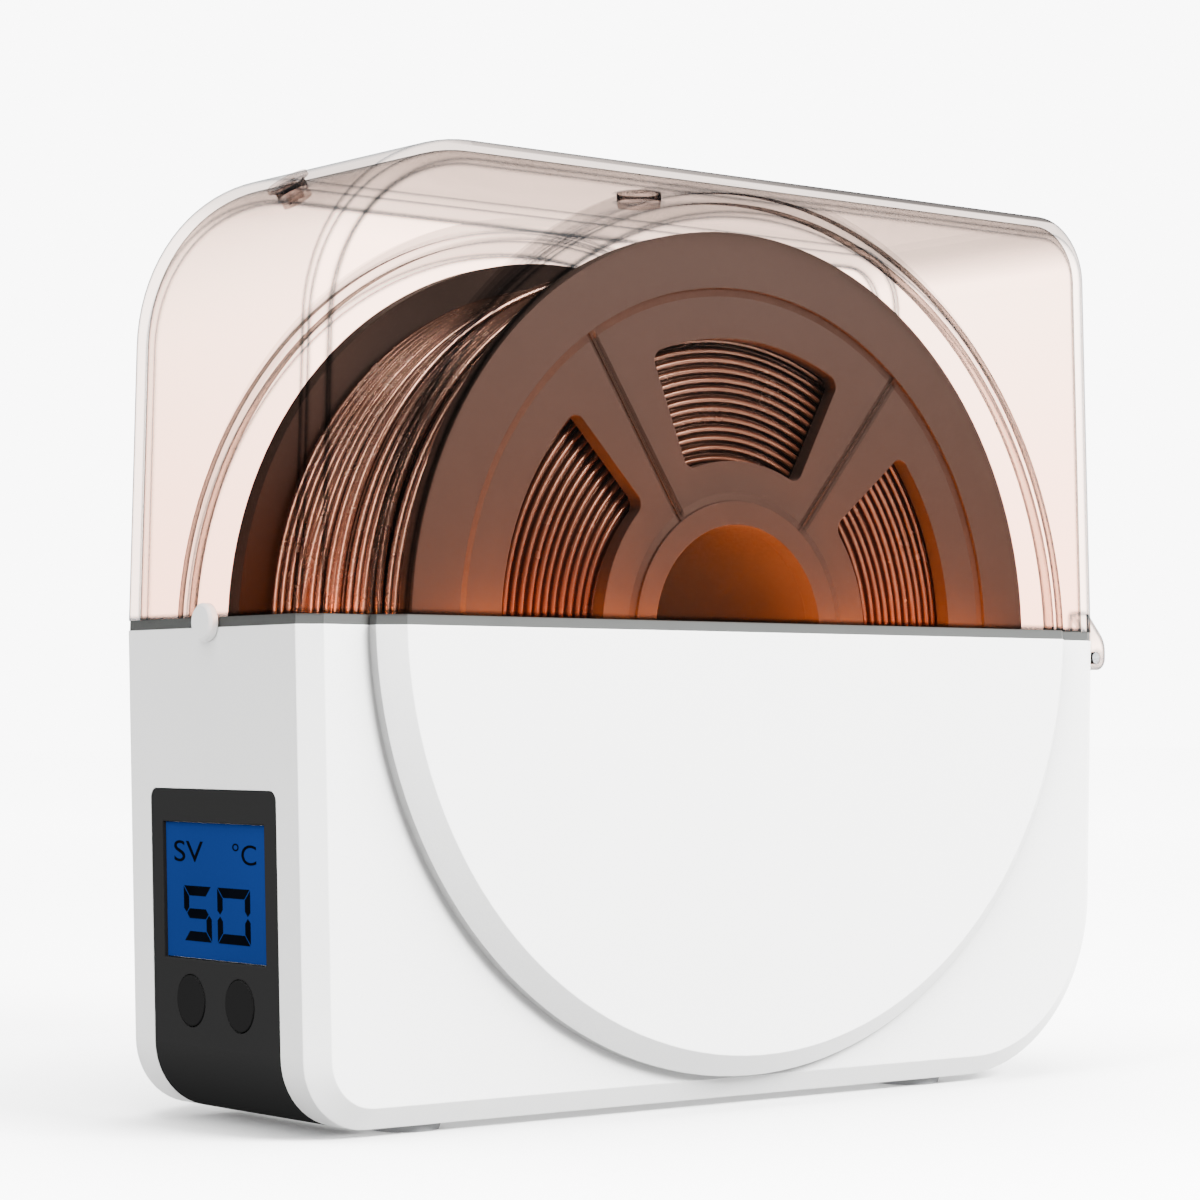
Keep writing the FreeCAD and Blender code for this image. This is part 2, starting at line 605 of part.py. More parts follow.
# Lid: the case form turned half round about Y, so its own x and z point the other way
lid = case_shell("lid_shell", "Dim.lid_height", "0", "-Dim.seal_height")
ARM_BACK = "(-%s + Dim.knuckle_radius)" % PIN_X
ARM_FRONT = "(-%s - Dim.knuckle_radius)" % PIN_X
for side_name, start in (("front", ARM_OUT), ("back", "(-Dim.knuckle_half - Dim.arm_gap)")):
    near = "%s - Dim.arm_width" % start
    arm = outline(lid, "arm_%s" % side_name, "XZ_Plane", [
        ("-%s + Dim.wall/2" % END, "-Dim.arm_top"),
        ("-%s + Dim.wall/2" % END, "-Dim.seal_height - Dim.arm_gap"),
        (ARM_BACK, "-Dim.seal_height - Dim.arm_gap"),
        (ARM_BACK, "Dim.hinge_drop"),
        (ARM_FRONT, "Dim.hinge_drop"),
        (ARM_FRONT, "0", "Dim.arm_bend"),
        ("-%s - Dim.wall/4" % END, "-Dim.arm_top"),
    ], near)
    pad(lid, arm, "Dim.arm_width")
    eye = circles(lid, "eye_%s" % side_name, "XZ_Plane",
                  [("-%s" % PIN_X, "Dim.hinge_drop", "Dim.knuckle_radius")], near)
    pad(lid, eye, "Dim.arm_width")
bores = circles(lid, "bores", "XZ_Plane",
                [("-%s" % PIN_X, "Dim.hinge_drop", "Dim.pin_radius + Dim.pin_play")])
pocket(lid, bores, "2*%s" % ARM_OUT, symmetric=True)

# The corner outlet looks out along the radius of the wide corner
CORNER_Z = "(Dim.lid_height - Dim.big_corner)"
CORNER_X = "(%s - Dim.end_draft*%s/Dim.lid_height - Dim.big_corner)" % (END, CORNER_Z)
OUTLET_X = "(%s + Dim.big_corner*sin(Dim.outlet_angle*1 deg))" % CORNER_X
OUTLET_Z = "(%s + Dim.big_corner*cos(Dim.outlet_angle*1 deg))" % CORNER_Z
corner_way = circles(lid, "corner_way", "XY_Plane", [("0", "0", "Dim.grommet_radius + Dim.fit_gap")])
corner_way.AttachmentOffset.Rotation = FreeCAD.Rotation(Vector(0, 1, 0), -1)
corner_way.setExpression("AttachmentOffset.Rotation.Angle", "Dim.outlet_angle*1 deg")
corner_way.AttachmentOffset.Rotation.Axis = Vector(0, -1, 0)
corner_way.setExpression("AttachmentOffset.Base.x", OUTLET_X)
corner_way.setExpression("AttachmentOffset.Base.z", "-%s" % OUTLET_Z)
pocket(lid, corner_way, "3*Dim.wall", symmetric=True)
top_way = circles(lid, "top_way", "XY_Plane",
                  [("0", "0", "Dim.plug_radius + Dim.fit_gap")], "-Dim.lid_height")
pocket(lid, top_way, "2*Dim.wall", reverse=True)
keep(place(lid, turn_y=180))

seal = case_shell("lid_seal", "Dim.lid_height", "Dim.seal_inset", "0")
below = box_outline(seal, "below", "XY_Plane", "-Dim.box_length", "Dim.box_length",
                    "-Dim.box_depth", "Dim.box_depth", "-Dim.seal_height")
pocket(seal, below, "Dim.lid_height")
keep(place(seal, turn_y=180))

# Thumb tab on the display end, half over the lid and half over the base
tab = new_body("latch_tab")
tab_face = circles(tab, "face", "YZ_Plane", [("0", "0", "Dim.tab_radius")])
pad(tab, tab_face, "Dim.tab_out - Dim.fit_gap", reverse=True)


def tab_front(edge):
    return edge.BoundBox.XMax < -value("Dim.tab_out/2")


bevel_edges(tab, tab_front, "Dim.tab_edge", "edge")
keep(place(tab, "-%s - Dim.fit_gap" % END, z="Dim.seal_height/2"))

# Soft sleeve of the corner outlet and plug of the top outlet
sleeve = joined("outlet_sleeve", [
    cylinder("sleeve_neck", "Dim.grommet_radius", "2*Dim.wall", z="-2*Dim.wall"),
    cylinder("sleeve_flange", "Dim.grommet_flange", "Dim.grommet_lip"),
])
sleeve_bore = cylinder("sleeve_bore", "Dim.outlet_bore", "2*Dim.wall + Dim.grommet_lip", z="-2*Dim.wall")
grommet = minus("outlet_grommet", sleeve, sleeve_bore)
grommet.Placement.Rotation = FreeCAD.Rotation(Vector(0, 1, 0), -1)
grommet.setExpression("Placement.Rotation.Angle", "Dim.outlet_angle*1 deg")
grommet.Placement.Rotation.Axis = Vector(0, -1, 0)
keep(place(grommet, "-%s" % OUTLET_X, z=OUTLET_Z))

plug = cylinder("outlet_plug", "Dim.plug_radius", "Dim.plug_depth")
keep(place(plug, z="Dim.lid_height - Dim.plug_depth"))

# Cradle: round trough under the spool with a shelf to each end wall
cradle = new_body("spool_cradle")
trough = box_outline(cradle, "trough", "YZ_Plane", "-%s" % TROUGH_HALF, TROUGH_HALF,
                     "-%s - Dim.trough_thick" % TROUGH, "-%s" % TROUGH)
spun("Revolution", cradle, trough, "180 deg - 2*asin(Dim.shelf_drop/%s)" % TROUGH)
SHELF_HALF = "(Dim.box_depth/2 - Dim.wall - Dim.fit_gap)"
SHELF_END = "(%s - Dim.wall - 2*Dim.fit_gap)" % END
SHELF_START = "(%s + Dim.trough_thick/2)" % TROUGH
for end_name, sign in (("left", "-"), ("right", "")):
    shelf = outline(cradle, "shelf_%s" % end_name, "XY_Plane", [
        ("%s%s" % (sign, SHELF_START), "-%s" % SHELF_HALF),
        ("%s(%s - Dim.chamfer_width)" % (sign, SHELF_END), "-%s" % SHELF_HALF),
        ("%s%s" % (sign, SHELF_END), "-%s + Dim.chamfer_depth" % SHELF_HALF),
        ("%s%s" % (sign, SHELF_END), "%s - Dim.chamfer_depth" % SHELF_HALF),
        ("%s(%s - Dim.chamfer_width)" % (sign, SHELF_END), SHELF_HALF),
        ("%s%s" % (sign, SHELF_START), SHELF_HALF),
    ], "-%s" % SHELF)
    pad(cradle, shelf, "Dim.trough_thick")
AXLE_X = "%s*sin(Dim.roller_angle*1 deg)" % AXLE
AXLE_Z = "(-%s*cos(Dim.roller_angle*1 deg))" % AXLE
axle_places = [("-%s" % AXLE_X, AXLE_Z), (AXLE_X, AXLE_Z)]
for side_name, start in (("front", "Dim.bush_inner"), ("back", "(-Dim.bush_inner - Dim.bush_length)")):
    bosses = circles(cradle, "bosses_%s" % side_name, "XZ_Plane",
                     [(x, z, "Dim.boss_radius") for x, z in axle_places], start)
    pad(cradle, bosses, "Dim.bush_length")
    roller_start = "%s - Dim.roller_width/2 - Dim.slot_gap" % ROLLER_Y
    if side_name == "back":
        roller_start = "-%s - Dim.roller_width/2 - Dim.slot_gap" % ROLLER_Y
    slots = circles(cradle, "slots_%s" % side_name, "XZ_Plane",
                    [(x, z, "Dim.roller_radius + Dim.slot_gap") for x, z in axle_places], roller_start)
    pocket(cradle, slots, "Dim.roller_width + 2*Dim.slot_gap", reverse=True)
seats = circles(cradle, "bush_seats", "XZ_Plane",
                [(x, z, "Dim.bush_radius + Dim.press_play") for x, z in axle_places])
pocket(cradle, seats, "2*(Dim.bush_inner + Dim.bush_length)", symmetric=True)
opening = box_outline(cradle, "opening", "YZ_Plane", "-Dim.opening_half", "Dim.opening_half",
                      "-%s - 2*Dim.trough_thick" % TROUGH, "-%s + Dim.trough_thick" % TROUGH)
spun("Groove", cradle, opening, "Dim.opening_angle*1 deg")
shelf_holes = circles(cradle, "shelf_holes", "XY_Plane",
                      [(x, y, "Dim.screw_radius + Dim.fit_gap") for x, y in screw_places],
                      "-Dim.shelf_drop")
pocket(cradle, shelf_holes, "2*Dim.trough_thick")
keep(place(cradle))


def screw(name, x="0", y="0", z="0", axis=Vector(0, 0, -1)):
    """Pan-head screw: the head's underside at the point, the shank along the axis."""
    shank = doc.addObject("Part::Prism", "%s_shank" % name)
    shank.Polygon = 6
    shank.setExpression("Circumradius", "Dim.screw_radius")
    shank.setExpression("Height", "Dim.screw_length")
    shank.Placement.Rotation = FreeCAD.Rotation(Vector(0, 0, 1), axis)
    head = cylinder("%s_head" % name, "Dim.screw_head", "Dim.screw_cap", axis=axis * -1)
    made = joined(name, [shank, head])
    for letter, formula in zip("xyz", (x, y, z)):
        made.setExpression("Placement.Base.%s" % letter, formula)
    return made


cradle_screws = []
for i, (x, y) in enumerate(screw_places):
    cradle_screws.append(screw("cradle_screw_%d" % i, x, y, "-Dim.shelf_drop"))
keep(place(group("cradle_screws", cradle_screws)))

# Rollers: an axle with a wheel and a rubber tyre under each flange
HUB_RADIUS = "(Dim.roller_radius - Dim.tyre_thick)"
for side_name, sign in (("left", "-"), ("right", "")):
    axle_half = "(%s + Dim.roller_width/2)" % ROLLER_Y
    axle = cylinder("roller_axle_%s" % side_name, "Dim.axle_radius", "2*%s" % axle_half, axis=ALONG_Y)
    keep(place(axle, "%s%s" % (sign, AXLE_X), "-%s" % axle_half, AXLE_Z))
    wheels = []
    tyres = []
    for end_name, centre in zip(("front", "back"), pair(ROLLER_Y)):
        name = "%s_%s" % (side_name, end_name)
        start = "%s - Dim.roller_width/2" % centre
        disc = cylinder("wheel_disc_" + name, HUB_RADIUS, "Dim.roller_width", y=start, axis=ALONG_Y)
        hole = cylinder("wheel_hole_" + name, "Dim.axle_radius + Dim.press_play", "Dim.roller_width",
                        y=start, axis=ALONG_Y)
        wheels.append(minus("wheel_" + name, disc, hole))
        band = cylinder("tyre_band_" + name, "Dim.roller_radius", "Dim.roller_width", y=start, axis=ALONG_Y)
        hollow = cylinder("tyre_hollow_" + name, "%s + Dim.press_play" % HUB_RADIUS, "Dim.roller_width",
                          y=start, axis=ALONG_Y)
        tyres.append(minus("tyre_" + name, band, hollow))
    keep(place(group("roller_wheels_" + side_name, wheels), "%s%s" % (sign, AXLE_X), z=AXLE_Z))
    keep(place(group("roller_tyres_" + side_name, tyres), "%s%s" % (sign, AXLE_X), z=AXLE_Z))

bushes = []
for i, (x, z) in enumerate(axle_places):
    for end_name, start in (("front", "(-Dim.bush_inner - Dim.bush_length)"), ("back", "Dim.bush_inner")):
        name = "%d_%s" % (i, end_name)
        body = cylinder("bush_body_" + name, "Dim.bush_radius", "Dim.bush_length", x, start, z, ALONG_Y)
        hole = cylinder("bush_hole_" + name, "Dim.axle_radius + Dim.axle_play", "Dim.bush_length",
                        x, start, z, ALONG_Y)
        bushes.append(minus("bush_" + name, body, hole))
keep(place(group("axle_bushes", bushes)))


# Heater: curved plate over the trough's opening, film under it and a sensor on the film
def curved_sheet(name, outer, thick, half, angle):
    body = new_body(name)
    section = box_outline(body, "section", "YZ_Plane", "-%s" % half, half, "-%s" % outer,
                          "-%s + %s" % (outer, thick))
    spun("Revolution", body, section, "%s*1 deg" % angle)
    return keep(place(body))


PLATE_OUTER = "(%s - Dim.fit_gap)" % TROUGH
FILM_OUTER = "(%s + Dim.press_play + Dim.film_thick)" % PLATE_OUTER
curved_sheet("heating_plate", PLATE_OUTER, "Dim.plate_thick", "Dim.plate_half", "Dim.plate_angle")
curved_sheet("heater_film", FILM_OUTER, "Dim.film_thick", "Dim.film_half", "Dim.film_angle")
sensor = cylinder("temp_sensor", "Dim.sensor_radius", "Dim.sensor_length", axis=ALONG_Y)
keep(place(sensor, y="-Dim.sensor_length/2", z="-%s - Dim.sensor_radius - Dim.fit_gap" % FILM_OUTER))

# Fascia and electronics on the display end, in a frame that leans with the end wall:
# its x runs inwards from the wall's outer face, its z up along the wall from the seam
panel = new_body("control_panel")
pad(panel, fascia_band(panel, "band", "0", "0"), "2*Dim.panel_half", symmetric=True)
round_edges(panel, fascia_corner(value("Dim.panel_half")), "Dim.panel_corner", "corner")
lens_way = box_outline(panel, "lens_way", "YZ_Plane", "-Dim.lens_half", "Dim.lens_half",
                       "-Dim.lens_bottom", "-Dim.lens_top", "-%s + Dim.end_draft + Dim.panel_thick" % END)
pocket(panel, lens_way, "2*Dim.end_draft + Dim.panel_thick")
ways = []
for y in pair("Dim.button_side"):
    ways.append((y, "-Dim.button_level", "Dim.button_radius + Dim.button_play"))
button_ways = circles(panel, "button_ways", "YZ_Plane", ways,
                      "-%s + Dim.end_draft + Dim.panel_thick" % END)
pocket(panel, button_ways, "2*Dim.end_draft + Dim.panel_thick")
keep(place(panel))


def on_end_wall(part):
    """Place a piece in the frame of the leaning end wall."""
    return keep(place(part, "-%s" % END, lean=LEAN))


lens = new_body("display_lens")
LENS_HALF = "(Dim.lens_half - Dim.fit_gap)"
lens_area = box_outline(lens, "area", "YZ_Plane", "-%s" % LENS_HALF, LENS_HALF,
                        "-Dim.lens_bottom + Dim.fit_gap", "-Dim.lens_top - Dim.fit_gap", "Dim.lens_sunk")
pad(lens, lens_area, "Dim.panel_thick - Dim.lens_sunk")
on_end_wall(lens)

lcd = new_body("lcd_module")
LCD_HALF = "(Dim.lens_half + Dim.window_rim)"
LCD_LOW = "(Dim.lens_bottom + Dim.window_rim/2)"
LCD_HIGH = "(Dim.lens_top - Dim.window_rim)"
lcd_area = box_outline(lcd, "area", "YZ_Plane", "-%s" % LCD_HALF, LCD_HALF,
                       "-%s" % LCD_LOW, "-%s" % LCD_HIGH, "Dim.panel_thick + Dim.fit_gap")
pad(lcd, lcd_area, "Dim.lcd_thick")
for foot_name, level in (("top", LCD_HIGH), ("bottom", "(%s - Dim.post_radius)" % LCD_LOW)):
    strip_half = "(%s - Dim.wall)" % LCD_HALF
    strip = box_outline(lcd, "strip_%s" % foot_name, "YZ_Plane", "-%s" % strip_half, strip_half,
                        "-%s - Dim.post_radius" % level, "-%s" % level, LCD_BACK)
    pad(lcd, strip, "Dim.board_depth - %s - Dim.fit_gap" % LCD_BACK)
on_end_wall(lcd)

board = new_body("control_board")
board_area = box_outline(board, "area", "YZ_Plane", "-Dim.board_half", "Dim.board_half",
                         "-Dim.board_bottom", "-Dim.board_top", "Dim.board_depth")
pad(board, board_area, "Dim.board_thick")
post_places = []
for level in POST_LEVELS:
    for y in pair(POST_Y):
        post_places.append((y, "-%s" % level))
board_holes = circles(board, "holes", "YZ_Plane",
                      [(y, z, "Dim.screw_radius + Dim.fit_gap") for y, z in post_places], "Dim.board_depth")
pocket(board, board_holes, "Dim.board_thick", reverse=True)
on_end_wall(board)

BOARD_REAR = "(Dim.board_depth + Dim.board_thick)"
board_screws = []
for i, (y, z) in enumerate(post_places):
    board_screws.append(screw("board_screw_%d" % i, BOARD_REAR, y, z, Vector(-1, 0, 0)))
for made in board_screws:
    made.Shapes[0].setExpression("Height", "%s - Dim.wall - Dim.fit_gap" % BOARD_REAR)
on_end_wall(group("board_screws", board_screws))

switches = []
PLUNGER_TIP = "(%s + Dim.button_travel + Dim.fit_gap)" % STEM_END
SWITCH_FACE = "(%s + Dim.fit_gap)" % PLUNGER_TIP
for side_name, y in zip(("left", "right"), pair("Dim.button_side")):
    can = block("switch_can_" + side_name, (SWITCH_FACE, "Dim.board_depth - Dim.press_play"),
                ("%s - Dim.switch_side" % y, "%s + Dim.switch_side" % y),
                ("-Dim.button_level - Dim.switch_side", "-Dim.button_level + Dim.switch_side"))
    plunger = cylinder("switch_plunger_" + side_name, "Dim.plunger_radius",
                       "Dim.board_depth - %s" % PLUNGER_TIP,
                       PLUNGER_TIP, y, "-Dim.button_level", Vector(1, 0, 0))
    switches.append(joined("switch_" + side_name, [can, plunger]))
on_end_wall(group("tact_switches", switches))

for side_name, y in zip(("left", "right"), pair("Dim.button_side")):
    button = new_body("button_" + side_name)
    level = "-Dim.button_level"
    cap_end = circles(button, "cap", "YZ_Plane", [(y, level, "Dim.button_radius")], "-Dim.button_proud")
    pad(button, cap_end, "Dim.button_proud + %s + Dim.button_lip/2" % LIP_FACE)

    def cap_front(edge):
        return edge.BoundBox.XMax < 0

    bevel_edges(button, cap_front, "Dim.button_proud/2", "edge")
    lip = circles(button, "lip", "YZ_Plane",
                  [(y, level, "Dim.button_radius + Dim.button_lip")], LIP_FACE)
    pad(button, lip, "Dim.button_lip")
    stem = circles(button, "stem", "YZ_Plane", [(y, level, "Dim.plunger_radius")], LIP_FACE)
    pad(button, stem, "2*Dim.button_lip")
    on_end_wall(button)

# Power inlet in the hinge end
JACK_FACE = "(%s - %s*Dim.jack_level - Dim.fit_gap)" % (END, LEAN)
jack = new_body("dc_jack")
jack_barrel = circles(jack, "barrel", "YZ_Plane", [("0", "0", "Dim.jack_radius")])
pad(jack, jack_barrel, "Dim.jack_length", reverse=True)
jack_block = box_outline(jack, "block", "YZ_Plane", "-Dim.jack_side", "Dim.jack_side", "-Dim.jack_side",
                         "Dim.jack_side", "-Dim.wall - Dim.fit_gap - %s*Dim.jack_side" % LEAN)
pad(jack, jack_block, "Dim.jack_length - Dim.wall", reverse=True)
jack_socket = circles(jack, "socket", "YZ_Plane", [("0", "0", "Dim.jack_bore")])
pocket(jack, jack_socket, "Dim.jack_depth")
jack_pin = circles(jack, "pin", "YZ_Plane", [("0", "0", "Dim.jack_pin")], "-Dim.jack_depth - Dim.jack_pin")
pad(jack, jack_pin, "Dim.jack_depth")
keep(place(jack, JACK_FACE, z="-Dim.jack_level"))


# Spool: two flanges with windows, the winding barrel and the wound filament
def flange(name, turn):
    """Flange with its outer face at -Y, turned about Z to serve the other side."""
    body = new_body(name)
    outer = "Dim.spool_width/2"
    ring = [("0", "0", "Dim.spool_radius"), ("0", "0", "Dim.hub_bore")]
    pad(body, circles(body, "disc", "XZ_Plane", ring, outer), "Dim.flange_thick", reverse=True)
    web = [("0", "0", RIM_INNER), ("0", "0", "Dim.hub_rim")]
    pocket(body, circles(body, "web", "XZ_Plane", web, outer), "Dim.flange_recess")
    band = box_outline(body, "window", "YZ_Plane", "-%s - Dim.flange_thick" % outer,
                       "-%s + 2*Dim.flange_thick" % outer, "Dim.window_inner", WINDOW_OUTER)
    cut = spun("Groove", body, band, "Dim.window_angle*1 deg")
    ridge = box_outline(body, "ridge", "XZ_Plane", "-Dim.ridge_width/2", "Dim.ridge_width/2",
                        "-%s" % RIM_INNER, "-Dim.hub_rim", "%s - Dim.flange_recess" % outer)
    rib = pad(body, ridge, "Dim.flange_recess/2")
    ring_of = body.newObject("PartDesign::PolarPattern", "%s_ring" % name)
    ring_of.Originals = [cut, rib]
    ring_of.Axis = (origin_part(body, "Y_Axis"), [""])
    ring_of.Angle = 360
    ring_of.setExpression("Occurrences", "Dim.windows")
    body.Tip = ring_of
    doc.recompute()
    depth = value("Dim.flange_thick/2")
    radii = [value("Dim.window_inner"), value(WINDOW_OUTER)]

    def window_corner(edge):
        box = edge.BoundBox
        if box.XLength > 1e-3 or box.ZLength > 1e-3 or box.YLength < depth:
            return False
        reach = math.hypot(box.Center.x, box.Center.z)
        return min(abs(reach - radius) for radius in radii) < 0.01

    round_edges(body, window_corner, "Dim.window_corner", "corner")
    first_window = FreeCAD.Rotation(Vector(0, 1, 0), value("Dim.window_turn"))
    body.Placement.Rotation = first_window.multiply(FreeCAD.Rotation(Vector(0, 0, 1), turn))
    return keep(place(body))


flange("spool_front_flange", 0)
flange("spool_rear_flange", 180)


def ring_on_axis(name, inner, outer, half):
    """Ring about the spool's axis."""
    body = new_body(name)
    pad(body, circles(body, "ring", "XZ_Plane", [("0", "0", outer), ("0", "0", inner)]), "2*%s" % half,
        symmetric=True)
    return keep(place(body))


ring_on_axis("spool_hub", "Dim.hub_bore", "Dim.hub_radius", FLANGE_INNER)
ring_on_axis("filament_core", "Dim.hub_radius + Dim.fit_gap", CORE,
             "(%s - Dim.core_setback)" % FLANGE_INNER)


def arc_edge(start, tip, end):
    """Arc from start to end whose tangents meet at tip."""
    middle = (start + end) / 2
    half = (end - start).Length / 2
    rise = tip - middle
    lean = math.atan2(rise.Length, half)
    top = middle + rise.normalize() * (half * math.tan(lean / 2))
    return Part.Arc(start, top, end).toShape()


def biarc(start, way_in, end, way_out):
    """Two arcs that run smoothly from one point and direction to another."""
    chord = end - start
    square = 2 * way_in.dot(way_out) - 2
    linear = -2 * chord.dot(way_in + way_out)
    root = math.sqrt(linear * linear - 4 * square * chord.dot(chord))
    reach = (-linear - root) / (2 * square)
    if reach < 0:
        reach = (-linear + root) / (2 * square)
    first_tip = start + way_in * reach
    second_tip = end - way_out * reach
    joint = (first_tip + second_tip) / 2
    return [arc_edge(start, first_tip, joint), arc_edge(joint, second_tip, end)]


def winding():
    """Outer layer: one helix of filament whose ends bend square into the flanges."""
    thick = value("Dim.filament")
    radius = value(CORE + " + Dim.fit_gap + Dim.filament/2")
    pitch = value(PITCH)
    turns = int(value("Dim.turns"))
    face = value(FLANGE_INNER + " - Dim.fit_gap")
    first = -pitch * turns / 2
    slope = pitch / (2 * math.pi)

    def helix(turn):
        angle = 2 * math.pi * turn
        point = Vector(radius * math.cos(angle), first + pitch * turn, radius * math.sin(angle))
        way = Vector(-radius * math.sin(angle), slope, radius * math.cos(angle)).normalize()
        return point, way

    edges = []
    halves = [i / 2 for i in range(2 * turns + 1)]
    for low, high in zip(halves, halves[1:]):
        edges += biarc(*helix(low), *helix(high))
    bend = thick * 0.75
    for turn, sign in ((0, -1), (turns, 1)):
        point, way = helix(turn)
        out = Vector(0, sign, 0)
        tip = point + way * (sign * bend)
        mouth = tip + out * bend
        end = Vector(mouth.x, sign * face, mouth.z)
        tail = [arc_edge(point, tip, mouth), Part.LineSegment(mouth, end).toShape()]
        edges = edges + tail if sign > 0 else tail[::-1] + edges
    path = Part.Wire(Part.__sortEdges__(edges))
    start_edge = path.OrderedEdges[0]
    begin = start_edge.valueAt(start_edge.FirstParameter)
    way = start_edge.tangentAt(start_edge.FirstParameter)
    tube = path.makePipeShell([round_section(begin, way, thick / 2)], True, False)
    print("winding gap to itself %.2f mm" % self_gap(path, thick))
    share = tube.Volume / (path.Length * section_area(thick / 2))
    print("winding volume over section times length %.4f" % share)
    return tube


SECTION_SIDES = 4


def round_section(centre, way, radius):
    """Closed section with a few flat sides, square to the way."""
    across = way.cross(Vector(way.y, way.z, way.x)).normalize()
    corners = []
    for i in range(SECTION_SIDES + 1):
        turn = FreeCAD.Rotation(way, 360 * i / SECTION_SIDES)
        corners.append(centre + turn.multVec(across) * radius)
    return Part.makePolygon(corners)


def section_area(radius):
    return SECTION_SIDES / 2 * radius * radius * math.sin(2 * math.pi / SECTION_SIDES)


def self_gap(path, thick):
    """Least gap between stretches of the winding, measured on points along its middle line."""
    step = thick / 2
    points = path.discretize(Distance=step)
    per_turn = int(2 * math.pi * value(CORE) / step)
    window = range(per_turn - 12, per_turn + 13)
    stride = 7
    least = min(
        points[i].distanceToPoint(points[i + gap])
        for i in range(0, len(points) - window[-1], stride)
        for gap in window
    )
    return least - thick


turns_of_filament = doc.addObject("Part::Feature", "filament_winding")
turns_of_filament.Shape = winding()
keep(place(turns_of_filament))


# Check every object, then write each sub-part
doc.recompute()
for item in doc.Objects:
    if "Invalid" in item.State or "Error" in item.State:
        raise RuntimeError("%s is %s" % (item.Name, item.State))
for part in PARTS:
    if part.Shape.isNull() or not part.Shape.isValid():
        raise RuntimeError("%s has no valid shape" % part.Label)

os.makedirs("parts", exist_ok=True)
for part in PARTS:
    part.Shape.exportStep("parts/%s.step" % part.Label)
print("%d sub-parts written" % len(PARTS))
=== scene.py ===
"""Looks of a filament dryer box: materials for its CAD pieces, wound filament, display and stage."""

import json
import math

import bmesh
import bpy
import numpy as np
from bpy.props import FloatProperty, FloatVectorProperty, IntProperty, PointerProperty, StringProperty
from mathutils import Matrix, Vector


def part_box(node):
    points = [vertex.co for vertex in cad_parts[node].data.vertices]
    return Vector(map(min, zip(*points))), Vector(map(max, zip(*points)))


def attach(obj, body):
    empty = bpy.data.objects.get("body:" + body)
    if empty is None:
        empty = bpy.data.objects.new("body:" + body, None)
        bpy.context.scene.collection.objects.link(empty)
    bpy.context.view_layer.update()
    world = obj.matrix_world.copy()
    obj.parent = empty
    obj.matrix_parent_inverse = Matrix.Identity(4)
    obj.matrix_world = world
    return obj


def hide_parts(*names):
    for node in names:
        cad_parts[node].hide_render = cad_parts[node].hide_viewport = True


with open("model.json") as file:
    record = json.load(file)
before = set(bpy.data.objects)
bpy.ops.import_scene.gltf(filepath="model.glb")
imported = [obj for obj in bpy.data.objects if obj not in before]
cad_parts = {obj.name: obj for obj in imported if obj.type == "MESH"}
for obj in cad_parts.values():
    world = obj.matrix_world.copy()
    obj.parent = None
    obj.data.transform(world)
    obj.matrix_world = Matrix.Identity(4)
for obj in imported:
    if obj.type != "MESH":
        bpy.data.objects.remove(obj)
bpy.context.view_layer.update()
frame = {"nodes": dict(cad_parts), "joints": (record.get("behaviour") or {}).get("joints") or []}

bl_info = {
    "name": "Filament Dryer Box",
    "version": (1, 0, 0),
    "blender": (4, 5, 0),
    "location": "View3D > Sidebar > Dryer",
    "description": "Dresses the packed filament dryer box and sets its stage",
    "category": "Object",
}

MM = 0.001
TURN = 2 * math.pi
NODES = frame["nodes"]
JOINTS = {joint["name"]: joint for joint in frame["joints"]}
SPOOL_AXIS = np.array(JOINTS["spool_spin"]["pos_m"])
SEAM = SPOOL_AXIS[2]

# Form of the solids that shading follows: the spokes and the web of a flange, and the edge of the lid's disc
SPOKES = 5
SPOKE_ANGLE = math.radians(39)
WEB_INNER, WEB_OUTER = 33 * MM, 86 * MM
WEB_SLOPE = 2 * MM
WEB_DEPTH = 1.2 * MM
GROOVE_HALF = 1.5 * MM
DISC_INNER, DISC_OUTER = 107 * MM, 112.4 * MM

# Shares of a colour and of its gloss that are left where no light reaches
COLOUR_IN_SHADE = 0.35
GLOSS_IN_SHADE = 0.12


def linear(code):
    """sRGB hex to linear red, green and blue."""
    srgb = np.array([int(code[i:i + 2], 16) for i in (0, 2, 4)]) / 255
    return tuple(np.where(srgb <= 0.04045, srgb / 12.92, ((srgb + 0.055) / 1.055) ** 2.4))


# Sizes and colours that a user would change
def colour(name, code, words):
    """Colour setting from an sRGB hex code."""
    return FloatVectorProperty(name=name, description=words, default=linear(code), subtype="COLOR",
                               size=3, min=0, max=1)


def length(name, millimetres, words):
    """Length setting, given in millimetres and kept in metres."""
    return FloatProperty(name=name, description=words, default=millimetres * MM, min=0,
                         subtype="DISTANCE", unit="LENGTH")


class DRYER_PG_colours(bpy.types.PropertyGroup):
    """Colours of the pieces that show"""
    case: colour("Case", "F1F1F0", "White of the moulded base")
    lid: colour("Lid", "FBF0EA", "Tint of the clear lid where it is seen face on")
    seal: colour("Seal", "424342", "Grey of the seal between lid and base")
    fascia: colour("Fascia", "2C2C2C", "Dark grey of the fascia")
    display: colour("Display", "162F68", "Blue of the lit display")
    button: colour("Buttons", "212121", "Black of the buttons")
    spool: colour("Spool", "262323", "Dark plastic of the spool, brown through the tinted lid")
    filament: colour("Filament", "2E1F18", "Brown of the filament")


